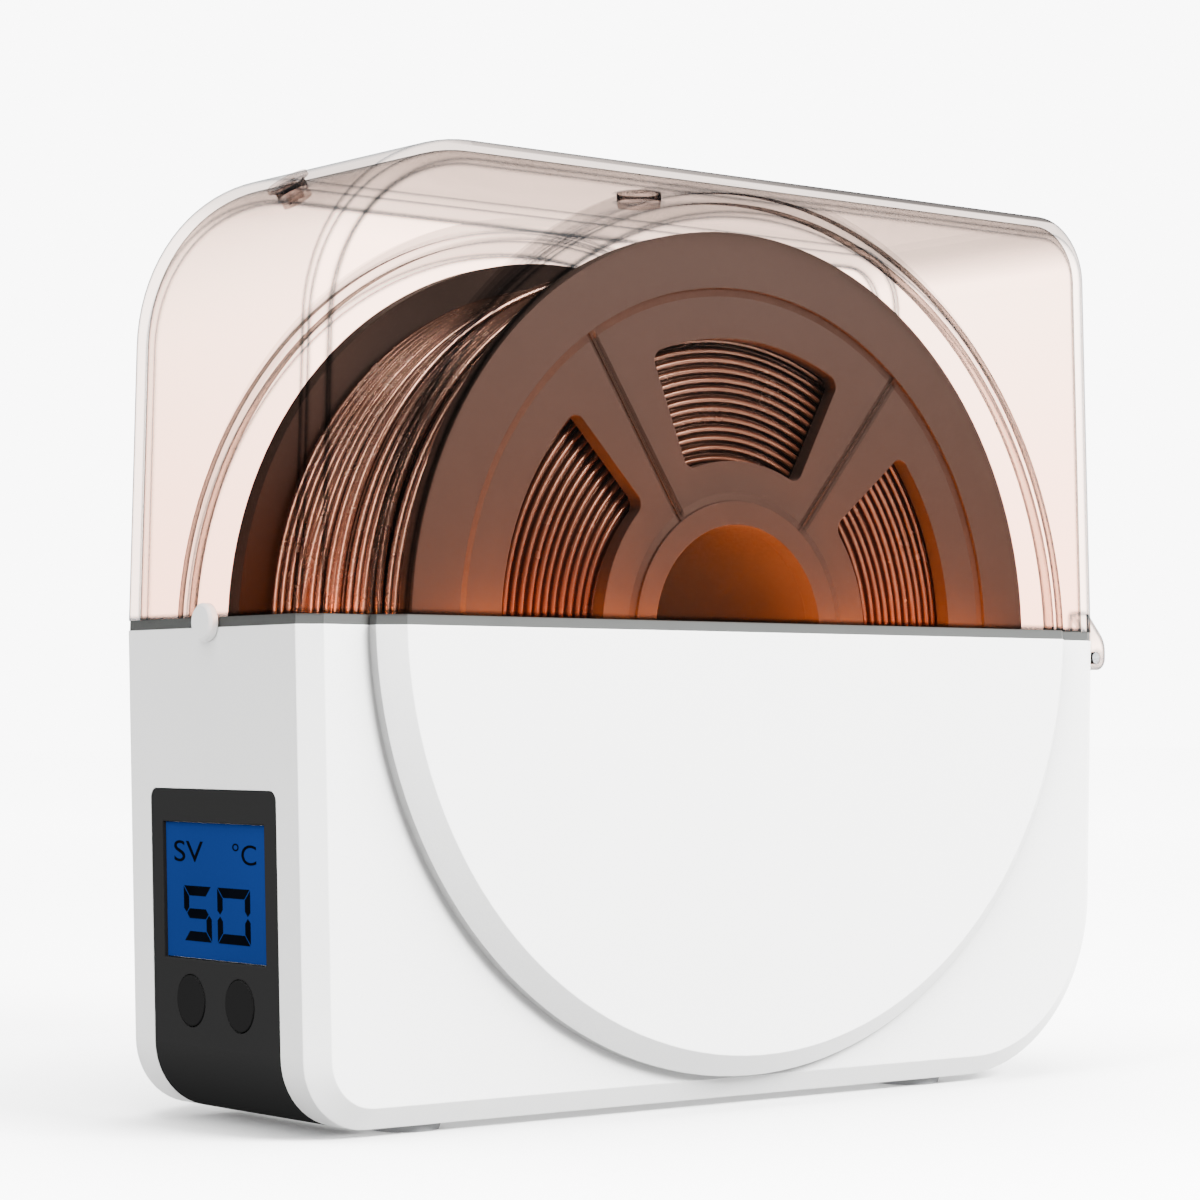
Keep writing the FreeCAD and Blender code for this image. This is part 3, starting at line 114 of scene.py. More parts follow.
class DRYER_PG_winding(bpy.types.PropertyGroup):
    """Wound filament"""
    turns: IntProperty(name="Turns", description="Turns in the outer layer", default=20, min=4, max=60)
    thickness: length("Thickness", 2.4, "Thickness of one turn as it shows")
    radius: length("Radius", 91.4, "Middle of the outer layer from the spool's axis")
    stray: FloatProperty(name="Stray", description="How far turns wander, as a share of their spacing",
                         default=0.1, min=0, max=0.6)
    inner: length("Inner radius", 40.4, "Where the layers start on the barrel")
    layer: length("Layer", 2.45, "Spacing of the layers that show in the windows")


class DRYER_PG_display(bpy.types.PropertyGroup):
    """Reading on the display"""
    reading: StringProperty(name="Reading", description="Digits on the display", default="50")
    heading: StringProperty(name="Heading", description="Word above the digits", default="SV")
    unit: StringProperty(name="Unit", description="Unit above the digits", default="°C")


class DRYER_PG_settings(bpy.types.PropertyGroup):
    """All settings of the dryer box"""
    colours: PointerProperty(type=DRYER_PG_colours)
    winding: PointerProperty(type=DRYER_PG_winding)
    display: PointerProperty(type=DRYER_PG_display)


# Nodes and materials
def add(tree, kind, inputs=None, **settings):
    """Add a node: settings are its own, inputs are constants or sockets to link."""
    made = tree.nodes.new(kind)
    for name, setting in settings.items():
        setattr(made, name, setting)
    for name, source in (inputs or {}).items():
        if isinstance(source, bpy.types.NodeSocket):
            tree.links.new(source, made.inputs[name])
        else:
            made.inputs[name].default_value = source
    return made


def rgba(values):
    """Colour with full opacity, as colour sockets take it."""
    return (*values, 1.0)


def per_metre(millimetres):
    """Texture scale that gives features of a real size."""
    return 1 / (millimetres * MM)


def new_material(name):
    """Empty material, its node tree and the Object coordinates that its patterns read."""
    made = bpy.data.materials.new(name)
    made.use_nodes = True
    tree = made.node_tree
    tree.nodes.clear()
    place = add(tree, "ShaderNodeTexCoord").outputs["Object"]
    return made, tree, place


def finish_material(tree, shader):
    """Join a shader to the output."""
    add(tree, "ShaderNodeOutputMaterial", {"Surface": shader.outputs[0]})


def shade(values, factor):
    """A tone of a colour, lighter or darker by a factor."""
    return tuple(min(1.0, value * factor) for value in values)


def surface(name, low, high, grain_mm, cloud_mm, depth_mm, rough, stretch=(1, 1, 1), edge_mm=0,
            light=None, sheen=None, form=None, **sockets):
    """Solid material: colour drifts between two tones over cloud_mm, roughness between two values,
    and a grain of grain_mm stands depth_mm high. stretch draws the grain out along an axis,
    edge_mm softens sharp edges as a mould or a tumbler leaves them, light gives the share of light that
    reaches a place and darkens the colour there as painted shade, sheen the tint of the gloss there,
    darkened with it as painted shade on the gloss, and form adds a relief of its own below the grain."""
    made, tree, place = new_material(name)
    drawn = add(tree, "ShaderNodeMapping", {"Vector": place, "Scale": stretch}).outputs["Vector"]
    cloud = add(tree, "ShaderNodeTexNoise", {"Vector": drawn, "Scale": per_metre(cloud_mm), "Detail": 3.0})
    grain = add(tree, "ShaderNodeTexNoise", {"Vector": drawn, "Scale": per_metre(grain_mm), "Detail": 2.0})
    tone = add(tree, "ShaderNodeMix", {
        "Factor": cloud.outputs["Fac"], "A": rgba(low), "B": rgba(high)}, data_type="RGBA")
    if light:
        share = light(tree, place)
        tone = add(tree, "ShaderNodeMix", {
            "Factor": share, "A": rgba(shade(low, COLOUR_IN_SHADE)), "B": tone.outputs["Result"]},
            data_type="RGBA")
        if sheen:
            gloss = add(tree, "ShaderNodeMix", {
                "Factor": share, "A": rgba(shade(sheen, GLOSS_IN_SHADE)), "B": rgba(sheen)},
                data_type="RGBA")
            sockets["Specular Tint"] = gloss.outputs["Result"]
    shine = add(tree, "ShaderNodeMapRange", {
        "Value": grain.outputs["Fac"], "From Min": 0.3, "From Max": 0.7,
        "To Min": rough[0], "To Max": rough[1]})
    relief = {"Height": grain.outputs["Fac"], "Distance": depth_mm * MM, "Strength": 1.0}
    if edge_mm:
        soft = add(tree, "ShaderNodeBevel", {"Radius": edge_mm * MM}, samples=4)
        relief["Normal"] = soft.outputs["Normal"]
    if form:
        relief["Normal"] = form(tree, place, relief["Normal"])
    bump = add(tree, "ShaderNodeBump", relief)
    shader = add(tree, "ShaderNodeBsdfPrincipled", {
        "Base Color": tone.outputs["Result"], "Roughness": shine.outputs["Result"],
        "Normal": bump.outputs["Normal"], **sockets})
    finish_material(tree, shader)
    return made


def moulded_abs(name, tone, rough=(0.36, 0.5), depth_mm=0.012, **sockets):
    """ABS from a spark-eroded mould: satin, with a fine even grain.
    The grain of about 0.2 mm is drawn at 0.7 mm so that it shows."""
    return surface(name, shade(tone, 0.97), shade(tone, 1.02), grain_mm=0.7, cloud_mm=60,
                   depth_mm=depth_mm, rough=rough, edge_mm=0.5, IOR=1.53, **sockets)


def from_axis(tree, place, across=(1.0, 0.0, 1.0)):
    """Way from the spool's axis square to it, or along it, and the length of that way."""
    out = add(tree, "ShaderNodeVectorMath", {0: place, 1: SPOOL_AXIS}, operation="SUBTRACT")
    way = add(tree, "ShaderNodeVectorMath", {
        0: out.outputs["Vector"], 1: across}, operation="MULTIPLY").outputs["Vector"]
    return way, add(tree, "ShaderNodeVectorMath", {0: way}, operation="LENGTH").outputs["Value"]


def in_corners(reach_mm):
    """Light falls off in inner corners, where something stands nearer than reach_mm."""
    def light(tree, place):
        sky = add(tree, "ShaderNodeAmbientOcclusion", {
            "Distance": reach_mm * MM}, samples=8, only_local=True)
        return add(tree, "ShaderNodeMapRange", {
            "Value": sky.outputs["AO"], "From Min": 0.72}).outputs["Result"]
    return light


def in_gaps(across, dark, bright):
    """Light falls off between strands: none at the distance dark from the spool's axis or its middle,
    all of it at the distance bright."""
    def light(tree, place):
        away = from_axis(tree, place, across)[1]
        return add(tree, "ShaderNodeMapRange", {
            "Value": away, "From Min": dark, "From Max": bright}).outputs["Result"]
    return light


def spoke_grooves(tree, place):
    """Depth of the grooves along the spokes, 1 in the middle and 0 at the sides; a spoke's distance is the
    radius times the angle to it. With it the height of the slopes at the rim and at the ring of the bore."""
    way, radius = from_axis(tree, place)
    parts = add(tree, "ShaderNodeSeparateXYZ", {"Vector": way}).outputs
    angle = add(tree, "ShaderNodeMath", {
        0: parts["X"], 1: parts["Z"]}, operation="ARCTAN2").outputs["Value"]
    half_share = TURN / SPOKES / 2
    past = add(tree, "ShaderNodeMath", {
        0: angle, 1: SPOKE_ANGLE - half_share}, operation="SUBTRACT").outputs["Value"]
    share = add(tree, "ShaderNodeMath", {
        0: past, 1: TURN / SPOKES}, operation="FLOORED_MODULO").outputs["Value"]
    turn = add(tree, "ShaderNodeMath", {0: share, 1: half_share}, operation="SUBTRACT").outputs["Value"]
    off = add(tree, "ShaderNodeMath", {0: turn, 1: radius}, operation="MULTIPLY").outputs["Value"]
    off = add(tree, "ShaderNodeMath", {0: off}, operation="ABSOLUTE").outputs["Value"]
    groove = add(tree, "ShaderNodeMapRange", {
        "Value": off, "From Max": GROOVE_HALF, "To Min": 1.0, "To Max": 0.0}).outputs["Result"]
    rim = add(tree, "ShaderNodeMapRange", {
        "Value": radius, "From Min": WEB_OUTER - WEB_SLOPE, "From Max": WEB_OUTER}).outputs["Result"]
    ring = add(tree, "ShaderNodeMapRange", {
        "Value": radius, "From Min": WEB_INNER + WEB_SLOPE, "From Max": WEB_INNER}).outputs["Result"]
    edge = add(tree, "ShaderNodeMath", {0: rim, 1: ring}, operation="MAXIMUM").outputs["Value"]
    web = add(tree, "ShaderNodeMath", {0: 1.0, 1: edge}, operation="SUBTRACT").outputs["Value"]
    return add(tree, "ShaderNodeMath", {0: groove, 1: web}, operation="MULTIPLY").outputs["Value"], edge


def in_grooves(tree, place):
    """Light falls off in the grooves of a flange."""
    return add(tree, "ShaderNodeMapRange", {
        "Value": spoke_grooves(tree, place)[0], "From Min": 0.8, "From Max": 0.3}).outputs["Result"]


def flange_relief(tree, place, normal):
    """Moulded relief of a flange's web: it slopes up to the rim and to the ring at the bore, and a
    V-shaped groove runs along each spoke."""
    groove, edge = spoke_grooves(tree, place)
    height = add(tree, "ShaderNodeMath", {0: edge, 1: groove}, operation="SUBTRACT").outputs["Value"]
    return add(tree, "ShaderNodeBump", {
        "Height": height, "Distance": WEB_DEPTH, "Strength": 1.0, "Normal": normal}).outputs["Normal"]


def painted_edge_shade(tree, facing):
    """Painted shade of a clear wall, how dark it is painted: it darkens where it turns away from sight, and
    within 2 mm of an edge, where the normal of a rounded edge leaves the face's own."""
    flat = add(tree, "ShaderNodeNewGeometry").outputs["Normal"]
    near = add(tree, "ShaderNodeBevel", {"Radius": 2 * MM}, samples=5).outputs["Normal"]
    alike = add(tree, "ShaderNodeVectorMath", {0: near, 1: flat}, operation="DOT_PRODUCT").outputs["Value"]
    alike = add(tree, "ShaderNodeMath", {0: alike}, operation="ABSOLUTE").outputs["Value"]
    bend = add(tree, "ShaderNodeMapRange", {"Value": alike, "From Min": 0.9993, "From Max": 0.989})
    away = add(tree, "ShaderNodeMapRange", {"Value": facing, "From Min": 0.88, "From Max": 0.98})
    return add(tree, "ShaderNodeMath", {
        0: bend.outputs["Result"], 1: away.outputs["Result"]}, operation="MAXIMUM").outputs["Value"]


def painted_heat_glow(tree, level, tone, warm):
    """Tint of the lid's walls with a painted glow of the heater's light: warm at the seam and passing to its
    tone 90 mm above it.
    """
    near_seam = add(tree, "ShaderNodeMapRange", {
        "Value": level, "From Min": SEAM, "From Max": SEAM + 90 * MM, "To Min": 1.0, "To Max": 0.0})
    return add(tree, "ShaderNodeMix", {
        "Factor": near_seam.outputs["Result"], "A": rgba(tone), "B": rgba(warm)},
        data_type="RGBA").outputs["Result"]


def painted_disc_shade(tree, place):
    """Painted shade at the edge of the lid's raised disc: how grey its slope is painted, and how dark the
    step outside the slope.
    """
    radius = from_axis(tree, place)[1]
    slope = add(tree, "ShaderNodeMapRange", {
        "Value": radius, "From Min": DISC_INNER - 0.5 * MM, "From Max": DISC_INNER, "To Max": 0.3})
    step = add(tree, "ShaderNodeMapRange", {
        "Value": radius, "From Min": DISC_OUTER - 2.4 * MM, "From Max": DISC_OUTER - 1.8 * MM,
        "To Max": 0.22})
    inside = add(tree, "ShaderNodeMath", {
        0: radius, 1: DISC_OUTER + 0.2 * MM}, operation="LESS_THAN").outputs["Value"]
    return [add(tree, "ShaderNodeMath", {
        0: part.outputs["Result"], 1: inside}, operation="MULTIPLY").outputs["Value"]
        for part in (slope, step)]


def painted_top_shade(tree, level, rise, side, facing):
    """Painted shade at the top of the lid: how much its walls darken over the last 12 mm, and the dark line
    painted where its long edges end, where they are seen along."""
    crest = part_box("lid_shell")[1][2]
    upright = add(tree, "ShaderNodeMath", {0: rise, 1: 0.97}, operation="LESS_THAN").outputs["Value"]
    fade = add(tree, "ShaderNodeMapRange", {
        "Value": level, "From Min": crest - 12 * MM, "From Max": crest, "To Max": 0.15}).outputs["Result"]
    fade = add(tree, "ShaderNodeMath", {0: fade, 1: upright}, operation="MULTIPLY").outputs["Value"]
    line = add(tree, "ShaderNodeMapRange", {
        "Value": level, "From Min": crest - 1.6 * MM, "From Max": crest - 1.2 * MM,
        "To Max": 0.9}).outputs["Result"]
    along = add(tree, "ShaderNodeMapRange", {
        "Value": facing, "From Min": 0.4, "From Max": 0.52}).outputs["Result"]
    long_edge = add(tree, "ShaderNodeMath", {0: side, 1: 0.3}, operation="GREATER_THAN").outputs["Value"]
    for share in (upright, along, long_edge):
        line = add(tree, "ShaderNodeMath", {0: line, 1: share}, operation="MULTIPLY").outputs["Value"]
    return fade, line


def clear_moulding(name, tone, edge, line, cover, rough, warm=None):
    """Clear plastic from a polished mould: light comes through tinted a little face on, and greyer where the
    wall is seen along its length, partly as light lost in the wall and partly as painted shade. Painted
    shade also makes it greyer on top and takes it down to the tone of line where it turns away or bends at
    an edge; cover is the share of gloss on it, face on and along it. warm is for the lid alone: its tint
    close above the seam, a painted glow of the heat's light that lies in it. With it come the painted shade
    at the disc's edge and at the top edge."""
    made, tree, place = new_material(name)
    ripple = add(tree, "ShaderNodeTexNoise", {"Vector": place, "Scale": per_metre(45), "Detail": 1.0})
    bump = add(tree, "ShaderNodeBump", {
        "Height": ripple.outputs["Fac"], "Distance": 0.25 * MM, "Strength": 0.5}).outputs["Normal"]
    facing = add(tree, "ShaderNodeLayerWeight", {"Blend": 0.5, "Normal": bump}).outputs["Facing"]
    slant = add(tree, "ShaderNodeMapRange", {
        "Value": facing, "From Min": 0.2, "From Max": 0.98}, interpolation_type="SMOOTHSTEP")
    own = add(tree, "ShaderNodeTexCoord").outputs["Normal"]
    own = add(tree, "ShaderNodeVectorMath", {0: own}, operation="ABSOLUTE").outputs["Vector"]
    own = add(tree, "ShaderNodeSeparateXYZ", {"Vector": own}).outputs
    # Painted shade: the top is greyer
    crown = add(tree, "ShaderNodeMapRange", {"Value": own["Z"], "From Min": 0.25, "From Max": 0.8})
    grey = add(tree, "ShaderNodeMath", {
        0: slant.outputs["Result"], 1: crown.outputs["Result"]}, operation="MAXIMUM").outputs["Value"]
    dark = painted_edge_shade(tree, facing)
    face = rgba(tone)
    if warm:
        level = add(tree, "ShaderNodeSeparateXYZ", {"Vector": place}).outputs["Z"]
        face = painted_heat_glow(tree, level, tone, warm)
        slope, step = painted_disc_shade(tree, place)
        fade, outline = painted_top_shade(tree, level, own["Z"], own["Y"], facing)
        grey = add(tree, "ShaderNodeMath", {0: grey, 1: slope}, operation="MAXIMUM").outputs["Value"]
        for more in (step, fade):
            dark = add(tree, "ShaderNodeMath", {0: dark, 1: more}, operation="MAXIMUM").outputs["Value"]
    tint = add(tree, "ShaderNodeMix", {"Factor": grey, "A": face, "B": rgba(edge)}, data_type="RGBA")
    tint = add(tree, "ShaderNodeMix", {
        "Factor": dark, "A": tint.outputs["Result"], "B": rgba(line)}, data_type="RGBA")
    if warm:
        tint = add(tree, "ShaderNodeMix", {
            "Factor": outline, "A": tint.outputs["Result"], "B": rgba(shade(line, 0.12))}, data_type="RGBA")
    through = add(tree, "ShaderNodeBsdfTransparent", {"Color": tint.outputs["Result"]})
    gloss = add(tree, "ShaderNodeBsdfPrincipled", {
        "Base Color": rgba(shade(edge, 0.15)), "Roughness": rough, "IOR": 1.58, "Normal": bump})
    share = add(tree, "ShaderNodeMapRange", {
        "Value": facing, "From Min": 0.5, "From Max": 1.0, "To Min": cover[0], "To Max": cover[1]},
        interpolation_type="SMOOTHSTEP")
    both = add(tree, "ShaderNodeMixShader", {
        0: share.outputs["Result"], 1: through.outputs["BSDF"], 2: gloss.outputs["BSDF"]})
    finish_material(tree, both)
    return made


def lit_display(tone):
    """Backlit LCD behind an acrylic window: an even blue that drifts a little over 30 mm, with the 0.35 mm
    weave of its diffuser drawn at 0.6 mm."""
    made, tree, place = new_material("lcd_backlit_blue")
    weave = add(tree, "ShaderNodeTexNoise", {"Vector": place, "Scale": per_metre(0.6), "Detail": 1.0})
    drift = add(tree, "ShaderNodeTexNoise", {"Vector": place, "Scale": per_metre(30), "Detail": 0.0})
    both = add(tree, "ShaderNodeMix", {
        "Factor": 0.25, "A": drift.outputs["Fac"], "B": weave.outputs["Fac"]}, data_type="FLOAT")
    tint = add(tree, "ShaderNodeMix", {
        "Factor": both.outputs["Result"], "A": rgba(shade(tone, 0.85)), "B": rgba(shade(tone, 1.15))},
        data_type="RGBA")
    shader = add(tree, "ShaderNodeBsdfPrincipled", {
        "Base Color": tint.outputs["Result"], "Roughness": 0.3, "IOR": 1.49,
        "Emission Color": tint.outputs["Result"], "Emission Strength": 0.3, "Specular IOR Level": 0.0})
    finish_material(tree, shader)
    return made


def drawn_filament(name, tone, rough, bend, light):
    """PLA drawn through a die: smooth and silky, with a faint change of tone every few centimetres;
    bend is how strongly its skin turns light, so how bright the line along each turn is."""
    return surface(name, shade(tone, 0.75), shade(tone, 1.3), grain_mm=6, cloud_mm=25, depth_mm=0.0,
                   rough=rough, light=light, sheen=linear("E6D2C8"), IOR=bend, **{"Specular IOR Level": 1.0})


def white_paper():
    """Wide sheet of white paper, its fibres 3 mm clouds, with a painted glow that grows further off so that
    it runs into the bright studio behind it, and a painted shadow within 170 mm of what stands on it."""
    made, tree, place = new_material("paper_backdrop_white")
    fibre = add(tree, "ShaderNodeTexNoise", {"Vector": place, "Scale": per_metre(3), "Detail": 2.0})
    tone = add(tree, "ShaderNodeMix", {
        "Factor": fibre.outputs["Fac"], "A": rgba(linear("F2F2F2")), "B": rgba(linear("F8F8F8"))},
        data_type="RGBA")
    away = add(tree, "ShaderNodeVectorMath", {0: place}, operation="LENGTH")
    lit = add(tree, "ShaderNodeMapRange", {
        "Value": away.outputs["Value"], "From Min": 0.3, "From Max": 2.2, "To Min": 6.0, "To Max": 8.5})
    # Painted shadow round what stands on the paper
    open_sky = add(tree, "ShaderNodeAmbientOcclusion", {"Distance": 170 * MM}, samples=16)
    light = add(tree, "ShaderNodeMapRange", {
        "Value": open_sky.outputs["AO"], "From Min": 0.5, "To Min": 0.02, "To Max": 1.0})
    glow = add(tree, "ShaderNodeMath", {
        0: lit.outputs["Result"], 1: light.outputs["Result"]}, operation="MULTIPLY")
    shader = add(tree, "ShaderNodeBsdfPrincipled", {
        "Base Color": tone.outputs["Result"], "Roughness": 0.85, "Specular IOR Level": 0.1,
        "Emission Color": tone.outputs["Result"], "Emission Strength": glow.outputs["Value"]})
    finish_material(tree, shader)
    return made


def dress(material, *names):
    """Give CAD nodes a material."""
    for name in names:
        slots = NODES[name].data.materials
        slots.clear()
        slots.append(material)


# Mesh pieces
def close_mesh(mesh, join):
    """Merge the points of a mesh that lie nearer than join, and turn its faces outwards."""
    work = bmesh.new()
    work.from_mesh(mesh)
    bmesh.ops.remove_doubles(work, verts=work.verts, dist=join)
    bmesh.ops.recalc_face_normals(work, faces=work.faces)
    work.to_mesh(mesh)
    work.free()


def place_piece(name, mesh, material, body):
    """Piece of a closed mesh, riding on a body."""
    mesh.materials.clear()
    mesh.materials.append(material)
    piece = bpy.data.objects.new(name, mesh)
    bpy.context.scene.collection.objects.link(piece)
    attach(piece, body)
    return piece


def wound_piece(name, points, faces, material):
    """Smooth piece of the spool from arrays of points and faces."""
    mesh = bpy.data.meshes.new(name)
    mesh.from_pydata(points.tolist(), [], faces.tolist())
    close_mesh(mesh, 1e-6)
    mesh.polygons.foreach_set("use_smooth", np.full(len(mesh.polygons), True))
    return place_piece(name, mesh, material, "spool")


def grid_faces(rows, columns, close_rows):
    """Quads of a grid whose columns wrap round, and whose rows may."""
    last = rows if close_rows else rows - 1
    row = np.arange(last)[:, None]
    column = np.arange(columns)[None, :]
    after = (row + 1) % rows
    beside = (column + 1) % columns
    corners = (row * columns + column, after * columns + column,
               after * columns + beside, row * columns + beside)
    return np.stack(corners, axis=-1).reshape(-1, 4)


def on_spool(radius, along, angle):
    """Points at a radius and angle about the spool's axis, and along it."""
    parts = [radius * np.cos(angle), along * np.ones_like(angle), radius * np.sin(angle)]
    return np.stack(parts, axis=-1) + SPOOL_AXIS


def tube_about_axis(radius, along, angle, thickness):
    """Round tube along a path given as radius, distance along the axis and angle.
    Its section lies in the plane of the radius and of the direction square to both
    the radius and the path, and shrinks to a point at both ends."""
    sides = 10
    path = on_spool(radius, along, angle)
    way = np.gradient(path, axis=0)
    way /= np.linalg.norm(way, axis=1, keepdims=True)
    out = np.stack([np.cos(angle), np.zeros_like(angle), np.sin(angle)], axis=-1)
    side = np.cross(way, out)
    side /= np.linalg.norm(side, axis=1, keepdims=True)
    out = np.cross(side, way)
    size = np.full(len(path), thickness / 2)
    size[[0, -1]] = 0
    section = TURN * np.arange(sides) / sides
    ring = (np.cos(section)[None, :, None] * out[:, None, :]
            + np.sin(section)[None, :, None] * side[:, None, :])
    return path[:, None, :] + size[:, None, None] * ring


def wander(angle, seed):
    """Smooth wandering value between about -1 and 1: a sum of five sines with seeded paces and phases."""
    waves = 5
    draw = np.random.default_rng(seed)
    pace = draw.uniform(0.15, 0.9, waves)
    phase = draw.uniform(0, TURN, waves)
    return np.sin(angle[:, None] * pace + phase).sum(axis=1) / waves * 1.6


def outer_turns(settings):
    """Outer layer: a helix between the flanges, so the distance along the axis grows with the angle;
    its turns wander sideways by a share of their spacing and outwards by a share of their thickness."""
    steps = 120
    count = settings.turns
    angle = np.linspace(0, TURN * count, steps * count + 1)
    low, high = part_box("filament_winding")
    half = (high[1] - low[1]) / 2 - settings.thickness * 0.6
    share = angle / angle[-1]
    spacing = 2 * half / count
    along = (share - 0.5) * 2 * (half - spacing * settings.stray)
    along = along + wander(angle, 5) * spacing * settings.stray
    lift = np.abs(wander(angle, 9)) * settings.thickness * 0.08
    return tube_about_axis(settings.radius + lift, along, angle, settings.thickness)


def stray_turns(settings):
    """Three turns that lie on top of the outer layer, each crossing it at a slant of 2 to 4 mm
    and sinking back into it over a seventh of its length at both ends."""
    draw = np.random.default_rng(21)
    steps = 110
    pieces = []
    for middle in (-16.5, 1.5, 18):
        start = draw.uniform(0, TURN)
        sweep = TURN * draw.uniform(0.55, 0.9)
        angle = start + np.linspace(0, sweep, steps)
        share = np.linspace(0, 1, steps)
        along = (middle + (share - 0.5) * draw.uniform(2, 4)) * MM
        hump = np.clip(np.minimum(share, 1 - share) * 7, 0, 1)
        lift = settings.thickness * (0.78 * hump * hump * (3 - 2 * hump) - 0.12)
        pieces.append(tube_about_axis(settings.radius + lift, along, angle, settings.thickness))
    return pieces


def layer_stack(settings):
    """Layers below: a ring whose two sides are rows of half-round strands with a gap after each,
    one row a layer, turned about the axis, each strand a little out of round."""
    around = 192
    points = 8
    low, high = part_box("filament_core")
    outer = (high[0] - low[0]) / 2
    half = (high[1] - low[1]) / 2
    count = int((outer - settings.inner) / settings.layer)
    strand = settings.layer / 2
    round_half = strand * 0.68
    height = round_half * 1.2
    floor = -0.6 * strand
    bow = np.linspace(0, math.pi, points - 1)
    across = np.append(-strand, -round_half * np.cos(bow))
    rise = np.append(floor, height * np.sin(bow))
    middle = settings.inner + settings.layer * (np.arange(count) + 0.5)
    radius = np.append((middle[:, None] + across).ravel(), middle[-1] + strand)
    swell = np.append(np.tile(rise, count), floor)
    draw = np.random.default_rng(3)
    phase = np.repeat(draw.uniform(0, TURN, count), points)
    phase = np.append(phase, phase[-1])
    angle = TURN * np.arange(around) / around
    uneven = np.sin(2 * angle[None, :] + phase[:, None]) * strand * 0.1
    uneven[[0, -1]] = 0
    sink = (1 + np.sin(3 * angle[None, :] + 2 * phase[:, None])) * strand * 0.1
    flat = half - height + swell[:, None] - sink
    reach = radius[:, None] + uneven
    turn = np.broadcast_to(angle, reach.shape)
    front = on_spool(reach, -flat, turn)
    back = on_spool(reach, flat, turn)[::-1]
    return np.concatenate([front, back])


# Lettering of the display, in the frame of the leaning end wall
LEAN = np.array(JOINTS["button_left_press"]["axis"])
WALL_UP = np.array([-LEAN[2], 0, LEAN[0]])
WALL_ORIGIN = np.array([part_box("base_shell")[0][0], 0, SEAM])
FACE_DEPTH = 0.76 * MM
INK = 0.05 * MM

# Places on the end wall in mm: left edge and width of the digits, their foot, height and stroke,
# and left, right, bottom and top of the two words
DIGIT_LEFT = (-14.4, 0.4)
DIGIT_WIDE = (12.2, 14.2)
DIGIT_FOOT, DIGIT_HIGH, DIGIT_STROKE = -73.8, 13.0, 2.3
HEADING_BOX = (-18.4, -5.5, -55.2, -50.2)
UNIT_BOX = (7.3, 17.5, -55.2, -50.3)


def on_wall(across, up, depth):
    """Point of the end wall: across to the viewer's right, up from the seam, depth inwards."""
    return (WALL_ORIGIN + np.multiply.outer(depth, LEAN) + np.multiply.outer(up, WALL_UP)
            + np.multiply.outer(across, np.array([0, -1.0, 0])))


def plate(corners):
    """Thin plate from a convex outline of (across, up) corners in mm."""
    flat = np.array(corners) * MM
    count = len(flat)
    front = on_wall(flat[:, 0], flat[:, 1], np.full(count, FACE_DEPTH))
    back = on_wall(flat[:, 0], flat[:, 1], np.full(count, FACE_DEPTH + INK))
    return np.concatenate([front, back])


def plate_faces(first, count):
    """Faces of a plate of count corners whose points begin at first: front, back and the sides between."""
    front = first + np.arange(count)
    back = front + count
    sides = np.stack([np.roll(front, 1), front, back, np.roll(back, 1)], axis=-1)
    return [front.tolist(), back[::-1].tolist(), *sides.tolist()]


# Bars that are lit for each digit, lettered as usual from the top round to the left, the middle last
SEGMENTS = {
    "0": "abcdef", "1": "bc", "2": "abged", "3": "abgcd", "4": "fgbc",
    "5": "afgcd", "6": "afgedc", "7": "abc", "8": "abcdefg", "9": "abcdfg",
}


def digit_bars(character, left, wide):
    """Bars of a seven-segment digit, each of six corners, cut at 45 degrees where they meet."""
    thick = DIGIT_STROKE
    high = DIGIT_HIGH
    gap = thick * 0.1
    half = thick / 2
    middle = high / 2
    bars = []
    for name in SEGMENTS[character]:
        if name == "g":
            near, far = thick + gap, wide - thick - gap
            shape = [(half + gap, middle), (near, middle - half), (far, middle - half),
                     (wide - half - gap, middle), (far, middle + half), (near, middle + half)]
        elif name in "ad":
            shape = [(gap, 0), (wide / 2, 0), (wide - gap, 0),
                     (wide - thick - gap, thick), (wide / 2, thick), (thick + gap, thick)]
        else:
            shape = [(0, gap), (thick, thick + gap), (thick, middle - half - gap),
                     (half, middle - gap), (0, middle - half), (0, middle / 2)]
        if name in "bc":
            shape = [(wide - x, y) for x, y in shape]
        if name in "abf":
            shape = [(x, high - y) for x, y in shape]
        bars.append([(left + x, DIGIT_FOOT + y) for x, y in shape])
    return bars


def word_mesh(text, left, right, bottom, top):
    """Flat letters fitted to a box on the end wall, in mm."""
    curve = bpy.data.curves.new("letters", "FONT")
    curve.body = text
    curve.extrude = 1.0
    holder = bpy.data.objects.new("letters", curve)
    mesh = bpy.data.meshes.new_from_object(holder)
    bpy.data.objects.remove(holder)
    flat = np.empty(len(mesh.vertices) * 3)
    mesh.vertices.foreach_get("co", flat)
    flat = flat.reshape(-1, 3)
    span = flat.max(axis=0) - flat.min(axis=0)
    unit = (flat - flat.min(axis=0)) / span
    across = (left + unit[:, 0] * (right - left)) * MM
    up = (bottom + unit[:, 1] * (top - bottom)) * MM
    depth = FACE_DEPTH + (1 - unit[:, 2]) * INK
    mesh.vertices.foreach_set("co", on_wall(across, up, depth).ravel())
    return mesh


class DryerOperator:
    """What all the operators share."""
    bl_options = {"REGISTER", "UNDO"}

    def execute(self, context):
        self.make(context.scene.dryer)
        return {"FINISHED"}


